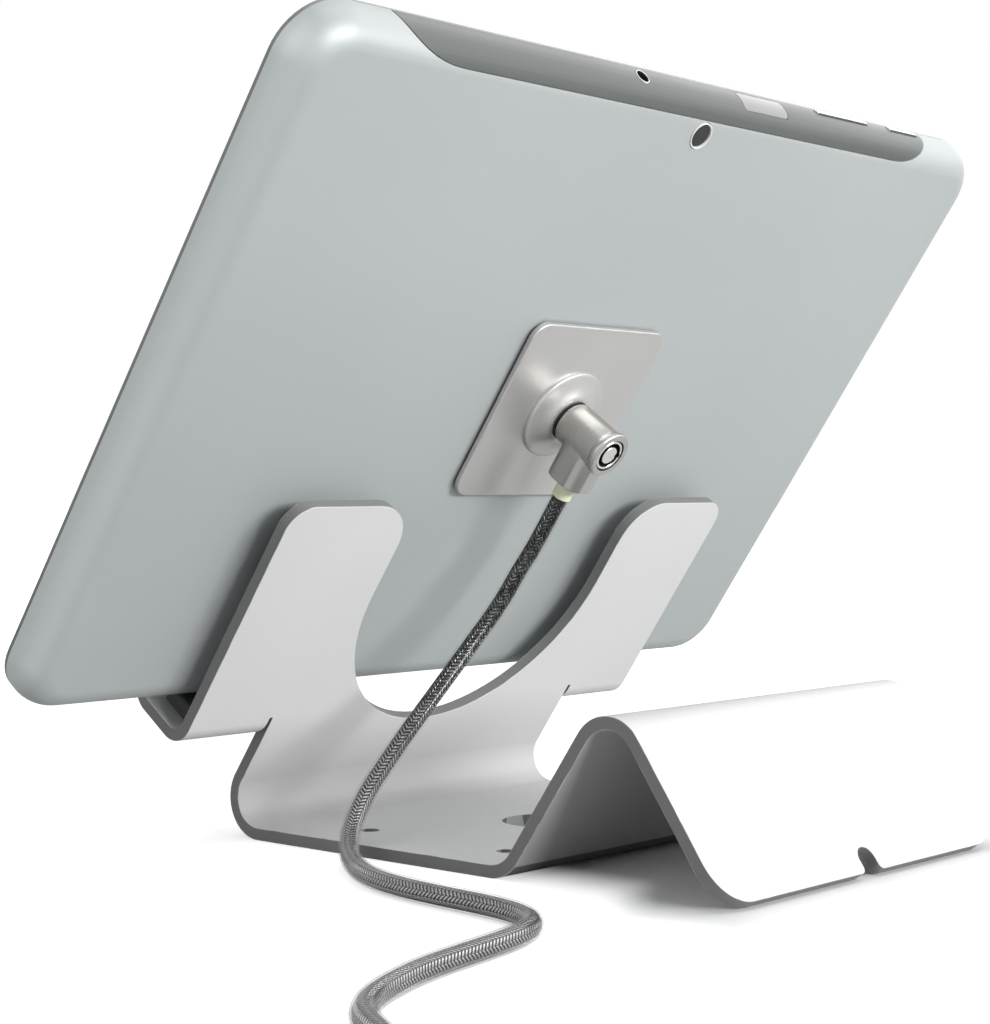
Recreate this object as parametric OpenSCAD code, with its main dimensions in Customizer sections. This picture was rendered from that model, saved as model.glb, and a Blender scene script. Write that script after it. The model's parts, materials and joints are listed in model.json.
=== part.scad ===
// Tablet security kiosk stand: a bent sheet stand, the tablet it holds, and a
// plate lock on the tablet's back with its steel security cable.
// Millimetres, +Z up. The screen faces -Y and the cable hangs on the +Y side.

/* [Stand sheet] */
// thickness of the bent sheet
sheet_t = 3; // [2:0.5:4]
// inside radius of the base and ridge bends
bend_r = 7; // [4:0.5:10]
// lean of the tablet, degrees from upright
lean = 35; // [25:1:40]
// width of the web, base and rear panel
base_w = 112.4; // [100:0.2:114]
// base length between the two lower bend corners
base_len = 101.4; // [90:0.2:120]
// height of the rear ridge
ridge_h = 38.5; // [34:0.5:45]
// slope of the two rear panels, degrees
ridge_slope = 55; // [50:1:60]
// radius of the rear panel's two corners
panel_corner = 10; // [4:0.5:14]
// width of the cable notch in the rear edge
notch_w = 6; // [5:0.5:10]
// depth of the cable notch
notch_d = 6; // [4:0.5:9]
// diameter of the cable hole in the base
cable_hole_d = 22; // [16:0.5:26]
// diameter of the four screw holes
screw_hole_d = 5; // [4:0.1:6]
// screw hole spacing across the base
screw_pitch_x = 80; // [60:1:90]
// screw hole spacing along the base
screw_pitch_y = 45; // [36:1:50]

/* [Arms and hooks] */
// height of the tablet's lower back edge above the table
rest_h = 34.7; // [30:0.1:40]
// gap between the arms and the tablet, filled by pads
arm_gap = 5; // [3:0.1:8]
// width of each arm and its hook
hook_w = 24.9; // [20:0.1:32]
// height of the arm tops above the tablet's lower edge
arm_top = 63.9; // [50:0.1:80]
// radius of the round cut-out between the arms
cutout_r = 42.8; // [36:0.1:44]
// height of the cut-out's centre
cutout_v = 37.5; // [36:0.5:40]
// outer radius at the arm tops, on the outside
arm_corner_out = 7; // [4:0.5:10]
// radius at the arm tops, beside the cut-out
arm_corner_in = 12; // [6:0.5:14]
// width of the relief slit between web and hook
slit_w = 1; // [0.6:0.1:2]
// how far the slit rises past the hook bend
slit_rise = 1.3; // [0.6:0.1:3]
// inside radius of the hook bends
hook_r = 3.5; // [2:0.5:5]
// gap between the hook shelf and the tablet, filled by a liner
shelf_gap = 4.2; // [3:0.1:6]
// free space in front of the tablet inside the hook
lip_gap = 1.8; // [1:0.1:4]
// height of the hook's front lip above the shelf
lip_h = 10; // [8:0.5:14]

/* [Tablet] */
// tablet width
tablet_w = 256.7; // [240:0.1:270]
// tablet height
tablet_h = 175.3; // [165:0.1:185]
// tablet thickness
tablet_t = 9.7; // [8.5:0.1:11]
// corner radius of the tablet
tablet_corner = 13.5; // [10:0.5:16]
// rounding of the back edge
back_round = 7.4; // [6.6:0.2:7.6]
// wall of the rear cover
wall = 1.4; // [1:0.1:1.8]
// thickness of the front frame line
bezel_t = 1; // [0.8:0.1:1.4]
// height of the dark band's lower line below the top edge
band_h = 5.8; // [5.2:0.1:8]
// diameter of the rear lens window
lens_d = 5.8; // [5:0.1:7]
// headphone plug diameter
jack_d = 3.5; // [3.5:0.1:3.6]

/* [Plate and lock] */
// side of the square security plate
plate_w = 50; // [44:0.5:60]
// thickness of the security plate
plate_t = 1.5; // [1:0.1:2.5]
// thickness of the bonding pad under the plate
bond_t = 0.6; // [0.4:0.1:1]
// corner radius of the plate
plate_corner = 4.5; // [2:0.5:8]
// diameter of the boss flange
boss_d = 24.8; // [20:0.2:28]
// height of the boss above the plate
boss_h = 3.1; // [2.8:0.1:4]
// thickness of the black washer
washer_t = 0.6; // [0.4:0.1:1]
// lock barrel diameter
barrel_d = 11.4; // [11:0.1:13]
// lock barrel length, washer to key face
barrel_len = 15; // [14.5:0.1:17]
// key plug diameter
plug_d = 8.2; // [7.6:0.1:8.4]
// width of the cable arm across the barrel
arm_w = 10; // [9.4:0.2:11]
// thickness of the cable arm along the barrel
arm_t = 11; // [10:0.2:11.4]
// reach of the cable arm from the barrel's axis
arm_reach = 12.7; // [11:0.1:16]

/* [Cable] */
// outside diameter of the jacketed cable
cable_d = 5; // [4:0.1:5.2]

/* [Hidden] */
$fn = 48;
// running gap between pieces that move past each other
run_gap = 0.3;
// seam between pieces of one body
seam = 0.15;
// how far the hooks run up into the arms
hook_lap = 1.5;
// length trimmed off the rear panel's end
panel_spare = 1;

// sheet bends
bend_ro = bend_r + sheet_t;
half_base = base_w / 2;
vertex_y = (arm_gap - rest_h * sin(lean)) / cos(lean);
bend1_y = vertex_y + bend_ro * tan(45 + lean / 2);
bend2_y = vertex_y + base_len - bend_ro * tan(ridge_slope / 2);
bend3_z = ridge_h - bend_ro;
bend3_y = bend2_y + (bend_ro + bend_r + (bend3_z - bend_ro) * cos(ridge_slope)) / sin(ridge_slope);
panel_len = (bend3_z + bend_r * cos(ridge_slope)) / sin(ridge_slope);
panel_end_y = bend3_y + bend_r * sin(ridge_slope) + panel_len * cos(ridge_slope);
rear_y = panel_end_y + sheet_t * sin(ridge_slope);
web_v = (arm_gap * sin(lean) - rest_h) / cos(lean) + bend_ro * tan(45 + lean / 2);

// hooks, in the tablet's own plane: v runs up the tablet and n out of its screen
hook_ro = hook_r + sheet_t;
hook_v = -shelf_gap + hook_r;
web_top = (web_v + min(hook_v, cutout_v - cutout_r)) / 2;
hook_n0 = -arm_gap - sheet_t + hook_ro;
lip_n = tablet_t + lip_gap;
hook_n1 = lip_n - hook_r;
hook_x0 = half_base + slit_w;
hook_x1 = hook_x0 + hook_w;
front_y = hook_v * sin(lean) - hook_n1 * cos(lean) - hook_ro;
mid_y = (front_y + rear_y) / 2;

// base holes
base_mid_y = (bend1_y + bend2_y) / 2 + 7;

// rubber pads
pad_v = [36, 58];
pad_in = 5.4;
liner_in = 5;

// tablet layers, measured from its back face
cover_n = tablet_t - bezel_t;
panel_n = 6.5;
board_n = 3.4;
board_t = 1;
half_w = tablet_w / 2;

// top-edge pieces, [from, to], measured in from the tablet's ends
rocker_in = [55.85, 78.85];
power_in = [30.85, 44.35];
card_in = [95.05, 114.05];
jack_in = 104.35;
rocker_x = [rocker_in[0] - half_w, rocker_in[1] - half_w];
power_x = [power_in[0] - half_w, power_in[1] - half_w];
key_n = [6.3, 7.9];
key_proud = 0.4;
key_deep = 2.6;
card_x = [card_in[0] - half_w, card_in[1] - half_w];
card_n = [2.3, 7.8];
card_deep = 2.6;
card_gap = 0.4;
jack_x = half_w - jack_in;
jack_n = 5;
jack_ro = 2.4;
jack_sunk = 1.8;
jack_nose = 2.4;
jack_wall = 0.5;
jack_nose_r = jack_d / 2 + jack_wall;
jack_len = 15;
jack_bore = 14.4;
lens_top = 9.8;
lens_v = tablet_h - lens_top;
lens_ring_t = 0.55;
lens_ring_proud = 0.3;
dock_w = 21;
dock_n = [3.4, 5.8];
dock_sunk = 1.6;
dock_deep = 10;
screw_r = 0.7;
screw_head_r = 1.5;
grille_w = 1.6;

// dark band: where its line starts to rise at each end, and the run of that rise
band_in = [46.35, 45.35];
band_from = [band_in[0] - half_w, half_w - band_in[1]];
band_run = [-19, 21];

// inner pieces, set in from the tablet's edges
screen_side = 20.35;
screen_low = 14;
screen_top = 17.2;
front_camera_top = 10.8;
front_camera_r = 1.8;
camera_w = 9;
camera_t = 4;
camera_gap = 0.5;
board_side = 36.35;
board_top = 17.3;
board_h = 46;
board_x = [board_side - half_w, half_w - board_side];
board_v = [tablet_h - board_top - board_h, tablet_h - board_top];
screw_in = 6;
screw_at = [for (x = board_x + [screw_in, -screw_in], v = board_v + [screw_in, -screw_in]) [x, v]];
// chips on the board: [x, height above its lower edge, width, height, thickness]
chips = [[-20, 10, 22, 22, 1.2], [20, 14, 30, 16, 1], [-70, 12, 26, 20, 1]];
battery_side = 40.35;
battery_low = 18;
battery_gap = 10;
battery_t = 4;
battery_w = tablet_w - 2 * battery_side;
battery_h = board_v[0] - battery_gap - battery_low;
speaker_side = 15.35;
speaker_drop = 15.65;
speaker_h = 32;
speaker_x = half_w - speaker_side;
speaker_v = [tablet_h / 2 - speaker_drop, tablet_h / 2 - speaker_drop + speaker_h];
speaker_w = 8;
speaker_end = 2;

// lock, measured from the tablet's back face along the lock axis
lock_v = tablet_h / 2;
plate_top = bond_t + plate_t;
boss_top = plate_top + boss_h;
housing_0 = boss_top + washer_t;
housing_1 = housing_0 + barrel_len;
barrel_r = barrel_d / 2;
rim_r = barrel_r + 0.4;
plug_r = plug_d / 2;
plug_bore = plug_r + run_gap;
floor_t = 1.8;
plug_0 = housing_0 + floor_t + run_gap;
plug_1 = housing_1 - 0.2;
keyway_r0 = 2.5;
keyway_r1 = 3.3;
keyway_deep = 6;
pin_ring = (keyway_r0 + keyway_r1) / 2;
pin_r = 0.3;
pin_play = 0.08;
spigot_r = 6.4;
cavity_r = 5.2;
web_t = 1;
slot_l = 7.6;
slot_w = 3.4;
neck_r = 1.3;
tbar_l = 7;
tbar_w = 2.6;
tbar_t = 1.4;
tbar_0 = boss_top - web_t - run_gap - tbar_t;
lug_l = 1.5;
arm_c = housing_0 + barrel_len * 0.52;
ferrule_r = 2.6;
sleeve_r = cable_d / 2;
arm_bore = ferrule_r + seam;
arm_bore_deep = 7;
sleeve_in = 2;
sleeve_out = 4.6;
keeper_w = plug_0 + 3.2;
keeper_r = 0.75;
groove_r = plug_r - 0.8;

// cable route over the table, after it leaves the sleeve
cable_r = cable_d / 2;
down = [0, -sin(lean), -cos(lean)];
back = [0, cos(lean), -sin(lean)];
cable_v = lock_v - arm_reach - sleeve_out;
cable_start = [0, -mid_y, rest_h] - down * cable_v + back * arm_c;
route = [
    [2.5, -25, 65.5], [5.5, -29, 57], [13, -32.5, 46.5], [25, -34, 34.5], [38, -33.5, 23.5],
    [50, -31.5, 14], [59, -27.5, 7], [66, -21, 3.3], [72, -13.5, 2.5], [78, -5, 2.5],
    [83, 5, 2.5], [86, 16, 2.5], [87.5, 28, 2.5], [88.5, 40, 2.5], [90, 49, 2.5],
    [93, 56.5, 2.5], [98, 62, 2.5], [105, 65.5, 2.5], [113, 67.5, 2.5], [122, 69, 2.5],
    [131, 70.5, 2.5], [140, 72.5, 2.5], [149, 75.5, 2.5], [157, 79, 2.5], [164, 83.5, 2.5],
    [169.5, 89, 2.5], [175, 98, 2.5], [182, 111, 2.7], [189, 125, 3], [195, 137, 3.4]
];
coil_c = [235, 150];
coil_out = 38.5;
coil_step = 6.3;
coil_rise = 5.8;
coil_turns = 3.5;
tie_t = 0.5;
tie_gap = 0.4;
tie_w = 10;
coil_z = tie_t + tie_gap + 2.5;
coil_in = coil_out - coil_step * coil_turns;
lead_end = [coil_c[0] - coil_out, coil_c[1] - 5, coil_z];
tail_len = 46;
crimp_z = 3.2;
crimp_len = 14;
crimp_w = 12;
strand_gap = 5.6;
// one side of the eye from the crimp on: [out from its middle, along it]
eye_side = [[6, 13], [11, 22], [12, 32], [7.5, 40]];
eye_len = 43;
tail_end = [coil_c[0] + coil_out, coil_c[1] - tail_len, crimp_z];

// which node to draw

// the tablet's own frame: x across, y up the tablet, z out of the screen
module tablet_frame() {
    translate([0, -mid_y, rest_h]) rotate([90 - lean, 0, 0]) children();
}

// the lock's frame: y up the tablet, z straight out of the tablet's back
module lock_frame() {
    tablet_frame() translate([0, lock_v, 0]) rotate([0, 180, 0]) children();
}

// extrudes a profile of [depth, height] across the width, centred at x
module across(width, x = 0) {
    translate([x - width / 2, 0, 0]) rotate([90, 0, 90]) linear_extrude(width) children();
}

function dir(a) = [cos(a), sin(a)];

// points on an arc, one every 4 degrees or so
function arc(c, r, a0, a1) = let (n = ceil(abs(a1 - a0) / 4))
    [for (i = [0:n]) c + r * dir(a0 + (a1 - a0) * i / n)];

// a point of the side view, [depth, height], as [up the tablet, out of the screen]
function leaned(p) = [p[0] * sin(lean) + (p[1] - rest_h) * cos(lean),
    (p[1] - rest_h) * sin(lean) - p[0] * cos(lean)];

// the sharp piece outside a rounded corner of radius r, corner at the origin, body in -x -y
module corner_cut(r) {
    difference() {
        translate([-r, -r]) square(r + 1);
        translate([-r, -r]) circle(r);
        translate([-r - 1, -r - 1]) square([r + 1, 1]);
    }
}

module round_rect(w, h, r) {
    difference() {
        translate([-w / 2, -h / 2]) square([w, h]);
        for (sx = [-1, 1], sy = [-1, 1])
            scale([sx, sy]) translate([w / 2, h / 2]) corner_cut(r);
    }
}

// side of the web, base and rear panels as [up the tablet, out of the screen]
module stand_profile() {
    c1 = [bend1_y, bend_ro];
    c2 = [bend2_y, bend_ro];
    c3 = [bend3_y, bend3_z];
    web = 180 - lean;
    up = 270 + ridge_slope;
    flank = 90 - ridge_slope;
    run = (panel_len + panel_spare) * [cos(ridge_slope), -sin(ridge_slope)];
    under = concat(arc(c1, bend_ro, web, 270), arc(c2, bend_ro, 270, up),
        arc(c3, bend_r, up - 180, flank), [c3 + bend_r * dir(flank) + run]);
    over = concat([c3 + bend_ro * dir(flank) + run], arc(c3, bend_ro, flank, up - 180),
        arc(c2, bend_r, up, 270), arc(c1, bend_r, 270, web));
    polygon(concat([[web_top, -arm_gap]], [for (p = concat(under, over)) leaned(p)],
        [[web_top, -arm_gap - sheet_t]]));
}

module arms_outline() {
    difference() {
        union() {
            translate([-half_base, web_v]) square([base_w, hook_v + 10 - web_v]);
            translate([-hook_x1, hook_v]) square([2 * hook_x1, arm_top - hook_v]);
        }
        translate([0, cutout_v]) circle(cutout_r, $fn = 128);
        translate([-cutout_r, cutout_v]) square([2 * cutout_r, arm_top]);
        for (s = [-1, 1]) scale([s, 1]) {
            translate([hook_x1, arm_top]) corner_cut(arm_corner_out);
            translate([cutout_r, arm_top]) scale([-1, 1]) corner_cut(arm_corner_in);
            translate([half_base, hook_v - 1]) square([slit_w, slit_rise + 1]);
        }
    }
}

// profile of a hook as [up the tablet, out of the screen]
module hook_profile() {
    c1 = [hook_v, hook_n0];
    c2 = [hook_v, hook_n1];
    lip_v = lip_h - shelf_gap;
    inner = concat(arc(c1, hook_r, 270, 180), arc(c2, hook_r, 180, 90));
    outer = concat(arc(c2, hook_ro, 90, 180), arc(c1, hook_ro, 180, 270));
    polygon(concat([[hook_v + hook_lap, -arm_gap]], inner, [[lip_v, lip_n], [lip_v, lip_n + sheet_t]], outer,
        [[hook_v + hook_lap, -arm_gap - sheet_t]]));
}

module hooks() {
    difference() {
        for (s = [-1, 1]) across(hook_w, s * (hook_x0 + hook_w / 2)) hook_profile();
        for (s = [-1, 1], t = [-1, 1])
            translate([s * (hook_x0 + hook_w / 2) + t * hook_w / 2, lip_h - shelf_gap, lip_n - 1])
                linear_extrude(sheet_t + 2) scale([t, 1]) corner_cut(4);
    }
}

// trims the rear edge, its corners and its cable notch
module panel_cuts() {
    translate([0, panel_end_y - mid_y, 0]) rotate([-ridge_slope, 0, 0]) translate([0, 0, -1])
        linear_extrude(sheet_t + 2) {
            translate([-half_base - 1, 0]) square([base_w + 2, panel_spare + 1]);
            for (s = [-1, 1]) {
                scale([s, 1]) translate([half_base, 0]) corner_cut(panel_corner);
                translate([s * notch_w / 2, 0]) scale([-s, 1]) corner_cut(1.5);
            }
            translate([0, notch_w / 2 - notch_d]) circle(notch_w / 2);
            translate([-notch_w / 2, notch_w / 2 - notch_d]) square([notch_w, notch_d]);
        }
}

module stand_sheet() color("#d3d3d3") {
    difference() {
        union() {
            tablet_frame() {
                across(base_w) stand_profile();
                translate([0, 0, -arm_gap - sheet_t]) linear_extrude(sheet_t) arms_outline();
                hooks();
            }
        }
        panel_cuts();
        translate([0, base_mid_y - mid_y, -1]) {
            cylinder(h = sheet_t + 2, d = cable_hole_d, $fn = 64);
            for (sx = [-1, 1], sy = [-1, 1])
                translate([sx * screw_pitch_x / 2, sy * screw_pitch_y / 2, 0])
                    cylinder(h = sheet_t + 2, d = screw_hole_d);
        }
    }
}

module arm_pads() color("#3a3a3c") tablet_frame() {
    x0 = half_base + pad_in;
    x1 = hook_x1 - pad_in;
    for (s = [-1, 1])
        translate([s * (x0 + x1) / 2, (pad_v[0] + pad_v[1]) / 2, -arm_gap]) linear_extrude(arm_gap)
            round_rect(x1 - x0, pad_v[1] - pad_v[0], 3);
}

module hook_liners() color("#3a3a3c") tablet_frame() {
    x0 = hook_x0 + liner_in;
    x1 = hook_x1 - liner_in;
    for (s = [-1, 1])
        translate([s * (x0 + x1) / 2 - (x1 - x0) / 2, -shelf_gap, hook_n0])
            cube([x1 - x0, shelf_gap, hook_n1 - hook_n0]);
}

// sweeps a profile of [distance from the corner centre, depth] round the tablet's outline
module around() {
    r = tablet_corner;
    translate([0, tablet_h / 2, 0]) for (k = [0:3]) {
        a = (k % 2 == 0 ? half_w : tablet_h / 2) - r;
        b = (k % 2 == 0 ? tablet_h / 2 : half_w) - r;
        rotate([0, 0, 90 * k]) translate([a, b, 0]) {
            rotate_extrude(angle = 90, $fn = 64) children();
            rotate([90, 0, 0]) linear_extrude(2 * b) children();
        }
    }
}

// the solid quarter-rounded section of the cover, shrunk inwards by the value in
module cover_section(in) {
    r = tablet_corner;
    e = back_round - in;
    translate([0, in]) square([r - back_round, cover_n]);
    translate([r - back_round, back_round]) {
        square([e, cover_n]);
        intersection() {
            circle(e, $fn = 64);
            translate([0, -e]) square(e);
        }
    }
}

module rear_shell() {
    r = tablet_corner;
    around() intersection() {
        difference() {
            cover_section(0);
            translate([-0.001, 0]) cover_section(wall);
            translate([-1, wall]) square([1.5, cover_n]);
        }
        square([r, cover_n]);
    }
    translate([r - half_w, r, 0]) cube([tablet_w - 2 * r, tablet_h - 2 * r, wall]);
}

// the rising end of the dark band's lower line, from x over the given run
function band_end(x, run, v0) = [for (i = [0:8]) [x + run * i / 8, v0 + (band_h + 1) * pow(i / 8, 2.4)]];

// outline of the dark band, grown by g
module band_outline(g) {
    v0 = tablet_h - band_h - g;
    left = band_end(band_from[0] - g, band_run[0], v0);
    polygon(concat([for (i = [8:-1:0]) left[i]], band_end(band_from[1] + g, band_run[1], v0)));
}

module band_space(g) {
    translate([0, 0, -1]) linear_extrude(tablet_t + 2) band_outline(g);
}

// the space of the card cover in the band, grown by g at the hinge end and f at the free end
module card_space(g, f) {
    translate([card_x[0] - f, tablet_h - card_deep - g, card_n[0] - g])
        cube([card_x[1] - card_x[0] + f + g, card_deep + 2, card_n[1] - card_n[0] + 2 * g]);
}

module key_bar(x, g) {
    translate([x[0] - g, tablet_h - key_deep, key_n[0] - g])
        cube([x[1] - x[0] + 2 * g, key_deep + key_proud + (g > 0 ? 2 : 0), key_n[1] - key_n[0] + 2 * g]);
}

module rear_cover() color("#b9c0c0") tablet_frame() {
    difference() {
        union() {
            difference() {
                rear_shell();
                band_space(seam);
            }
            for (p = screw_at)
                translate([p[0], p[1], wall - 0.2]) cylinder(h = board_n - wall + 0.2, r = 2.2);
        }
        translate([0, lens_v, -1]) cylinder(h = 4, d = lens_d + 2 * lens_ring_t + 2 * seam);
        for (p = screw_at) translate([p[0], p[1], wall]) cylinder(h = 4, r = screw_r + 0.1);
        translate([-dock_w / 2 - seam, -1, dock_n[0] - seam])
            cube([dock_w + 2 * seam, 5, dock_n[1] - dock_n[0] + 2 * seam]);
    }
}

module top_band() color("#7f8783") tablet_frame() {
    difference() {
        intersection() {
            rear_shell();
            band_space(0);
        }
        card_space(run_gap, card_gap);
        key_bar(rocker_x, run_gap);
        key_bar(power_x, run_gap);
        translate([jack_x, tablet_h + 1, jack_n]) rotate([90, 0, 0])
            cylinder(h = jack_sunk + jack_nose + 1, r = jack_nose_r + seam);
    }
}

module front_bezel() color("#1b1d1f") tablet_frame() {
    r = tablet_corner;
    around() translate([r, 0]) polygon([[0, cover_n], [0, tablet_t], [-4.4, tablet_t], [-4.4, cover_n],
        [-7, cover_n], [-7, cover_n - 0.9], [-3.6, cover_n - 0.9], [-3.6, cover_n]]);
}

module front_glass() color("#111418") tablet_frame() {
    in = 4.5;
    difference() {
        translate([0, tablet_h / 2, cover_n]) linear_extrude(bezel_t)
            round_rect(tablet_w - 2 * in, tablet_h - 2 * in, tablet_corner - in);
        for (s = [-1, 1]) translate([s * speaker_x - grille_w / 2, speaker_v[0], 0])
            cube([grille_w, speaker_v[1] - speaker_v[0], tablet_t + 1]);
    }
}

module display_panel() color("#20262b") tablet_frame()
    translate([screen_side - half_w, screen_low, panel_n])
        cube([tablet_w - 2 * screen_side, tablet_h - screen_low - screen_top, cover_n - panel_n]);

module battery() color("#2c2f33") tablet_frame()
    translate([0, battery_low + battery_h / 2, wall]) linear_extrude(battery_t)
        round_rect(battery_w, battery_h, 4);

module main_board() color("#23513a") tablet_frame() {
    difference() {
        union() {
            translate([board_x[0], board_v[0], board_n])
                cube([board_x[1] - board_x[0], board_v[1] - board_v[0], board_t]);
            for (c = chips)
                translate([c[0], board_v[0] + c[1], board_n + board_t]) cube([c[2], c[3], c[4]]);
        }
        for (p = screw_at) translate([p[0], p[1], 0]) cylinder(h = 8, r = screw_r + 0.1);
    }
}

module board_screws() color("#8f9294") tablet_frame()
    for (p = screw_at) translate([p[0], p[1], 0]) {
        translate([0, 0, wall + 0.3]) cylinder(h = board_n + board_t - wall - 0.3, r = screw_r);
        translate([0, 0, board_n + board_t]) cylinder(h = 0.8, r = screw_head_r);
    }

module rear_camera() color("#26282a") tablet_frame()
    translate([-camera_w / 2, lens_v - camera_w / 2, wall + camera_gap]) cube([camera_w, camera_w, camera_t]);

module lens_ring() color("#f2f3f3") tablet_frame()
    translate([0, lens_v, -lens_ring_proud]) difference() {
        cylinder(h = wall + lens_ring_proud, d = lens_d + 2 * lens_ring_t);
        translate([0, 0, -1]) cylinder(h = 4, d = lens_d);
    }

module rear_lens() color("#4a4d4f") tablet_frame()
    translate([0, lens_v, 0]) cylinder(h = wall, d = lens_d - 2 * seam);

module front_camera() color("#0c0d0f") tablet_frame()
    translate([0, tablet_h - front_camera_top, panel_n]) cylinder(h = cover_n - panel_n, r = front_camera_r);

module speaker_units() color("#2a2c2e") tablet_frame()
    for (s = [-1, 1]) translate([s * speaker_x - speaker_w / 2, speaker_v[0] - speaker_end, wall])
        cube([speaker_w, speaker_v[1] - speaker_v[0] + 2 * speaker_end, cover_n - wall - 0.2]);

module speaker_meshes() color("#3b3f42") tablet_frame()
    for (s = [-1, 1]) translate([s * speaker_x - grille_w / 2 + 0.1, speaker_v[0] + 0.1, cover_n - 0.2])
        cube([grille_w - 0.2, speaker_v[1] - speaker_v[0] - 0.2, bezel_t]);

module power_button() color("#8d9491") tablet_frame() key_bar(power_x, 0);

module volume_rocker() color("#8d9491") tablet_frame() key_bar(rocker_x, 0);

module card_cover() color("#e9ebea") tablet_frame() intersection() {
    rear_shell();
    card_space(0, 0);
}

module jack_socket() color("#2b2d2f") tablet_frame()
    translate([jack_x, tablet_h - jack_sunk, jack_n]) rotate([90, 0, 0]) difference() {
        union() {
            cylinder(h = jack_len, r = jack_nose_r);
            translate([0, 0, jack_nose]) cylinder(h = jack_len - jack_nose, r = jack_ro);
            translate([-4, -jack_n + wall, jack_nose + 4])
                cube([8, jack_n - wall, jack_len - jack_nose - 4.2]);
        }
        translate([0, 0, -1]) cylinder(h = jack_bore + 1, d = jack_d);
    }

module dock_socket() color("#2b2d2f") tablet_frame() difference() {
    translate([-dock_w / 2, dock_sunk, dock_n[0]])
        cube([dock_w, dock_deep - dock_sunk, dock_n[1] - dock_n[0]]);
    translate([-dock_w / 2 + 0.6, -1, dock_n[0] + 0.5]) cube([dock_w - 1.2, 7, dock_n[1] - dock_n[0] - 1]);
}

module bond_pad() color("#2f3032") lock_frame() difference() {
    linear_extrude(bond_t) round_rect(plate_w - 2, plate_w - 2, plate_corner - 1);
    translate([0, 0, -1]) cylinder(h = 4, r = spigot_r + 1);
}

module security_plate() color("#c9c8c6") lock_frame() translate([0, 0, bond_t]) difference() {
    linear_extrude(plate_t) round_rect(plate_w, plate_w, plate_corner);
    translate([0, 0, -1]) cylinder(h = plate_t + 2, r = spigot_r + seam);
}

module lock_boss() color("#c4c3c1") lock_frame() difference() {
    rotate_extrude($fn = 96) difference() {
        polygon([[0, bond_t], [spigot_r, bond_t], [spigot_r, plate_top], [boss_d / 2, plate_top],
            [boss_d / 2, plate_top + 0.5], [boss_d / 2 - 0.6, plate_top + 1.1],
            [boss_d / 2 - 3.2, plate_top + 1.8], [barrel_r + 1.4, boss_top - 0.3],
            [barrel_r + 0.9, boss_top], [0, boss_top]]);
        translate([-1, 0]) square([cavity_r + 1, boss_top - web_t]);
    }
    translate([-slot_l / 2, -slot_w / 2, 0]) cube([slot_l, slot_w, boss_top + 1]);
}

module lock_washer() color("#161616") lock_frame() translate([0, 0, boss_top]) difference() {
    cylinder(h = washer_t, r = barrel_r - 0.1);
    translate([0, 0, -1]) cylinder(h = 3, r = slot_l / 2 + 0.2);
}

// section of the barrel's wall as [radius, distance from the tablet]
module barrel_section() {
    polygon([[0, housing_0], [barrel_r - 0.7, housing_0], [barrel_r - 0.2, housing_0 + 0.2],
        [barrel_r, housing_0 + 0.7], [barrel_r, housing_1 - 1.8], [rim_r, housing_1 - 1.5],
        [rim_r, housing_1 - 0.4], [rim_r - 0.4, housing_1], [0, housing_1]]);
}

module lock_housing() color("#b8b7b3") lock_frame() {
    difference() {
        union() {
            rotate_extrude($fn = 64) barrel_section();
            translate([0, 0, arm_c]) rotate([90, 0, 0]) linear_extrude(arm_reach)
                round_rect(arm_w, arm_t, 4);
            for (s = [-1, 1]) translate([s * (slot_l / 2 - run_gap - lug_l / 2) - lug_l / 2,
                run_gap - slot_w / 2, boss_top - web_t])
                cube([lug_l, slot_w - 2 * run_gap, web_t + washer_t + 0.5]);
        }
        translate([0, 0, housing_0 + floor_t]) cylinder(h = barrel_len, r = plug_bore);
        cylinder(h = housing_1, r = neck_r + run_gap);
        translate([0, -arm_reach + arm_bore_deep, arm_c]) rotate([90, 0, 0])
            cylinder(h = arm_bore_deep + 1, r = arm_bore);
        translate([0, 0, keeper_w]) rotate([-90, 0, 0]) cylinder(h = barrel_d, r = keeper_r + 0.1);
    }
}

module keeper_pin() color("#9a9a98") lock_frame()
    translate([0, groove_r + run_gap, keeper_w]) rotate([-90, 0, 0])
        cylinder(h = barrel_r - 0.3 - groove_r - run_gap, r = keeper_r);

module pin_places(r, h) {
    for (k = [0:6]) rotate([0, 0, 25 + 360 * k / 7]) translate([pin_ring, 0, plug_1 - keyway_deep - h])
        cylinder(h = h, r = r, $fn = 16);
}

module key_plug() color("#dcdbd6") lock_frame() difference() {
    translate([0, 0, plug_0]) cylinder(h = plug_1 - plug_0, r = plug_r, $fn = 64);
    translate([0, 0, plug_1 - keyway_deep]) difference() {
        cylinder(h = keyway_deep + 1, r = keyway_r1, $fn = 64);
        translate([0, 0, -1]) cylinder(h = keyway_deep + 3, r = keyway_r0, $fn = 64);
    }
    translate([keyway_r0 - 0.5, -0.5, plug_1 - 2]) cube([1.8, 1, 3]);
    translate([0, 0, keeper_w - keeper_r - run_gap]) difference() {
        cylinder(h = 2 * keeper_r + 2 * run_gap, r = plug_r + 1);
        cylinder(h = 2 * keeper_r + 2 * run_gap, r = groove_r);
    }
    translate([0, 0, plug_0 - 1]) cylinder(h = 3, r = neck_r + 0.1);
    pin_places(pin_r + pin_play, 3.2);
}

module tumbler_pins() color("#c9a24a") lock_frame() pin_places(pin_r, 3);

module t_bar() color("#a9a8a4") lock_frame() {
    translate([-tbar_w / 2, -tbar_l / 2, tbar_0]) cube([tbar_w, tbar_l, tbar_t]);
    translate([0, 0, tbar_0]) cylinder(h = plug_0 + 1.8 - tbar_0, r = neck_r);
}

// a piece of the cable fitting on the cable arm's axis, from a to b below the lock's axis
module on_arm(a, b, r) {
    lock_frame() translate([0, -a, arm_c]) rotate([90, 0, 0]) cylinder(h = b - a, r = r);
}

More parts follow.
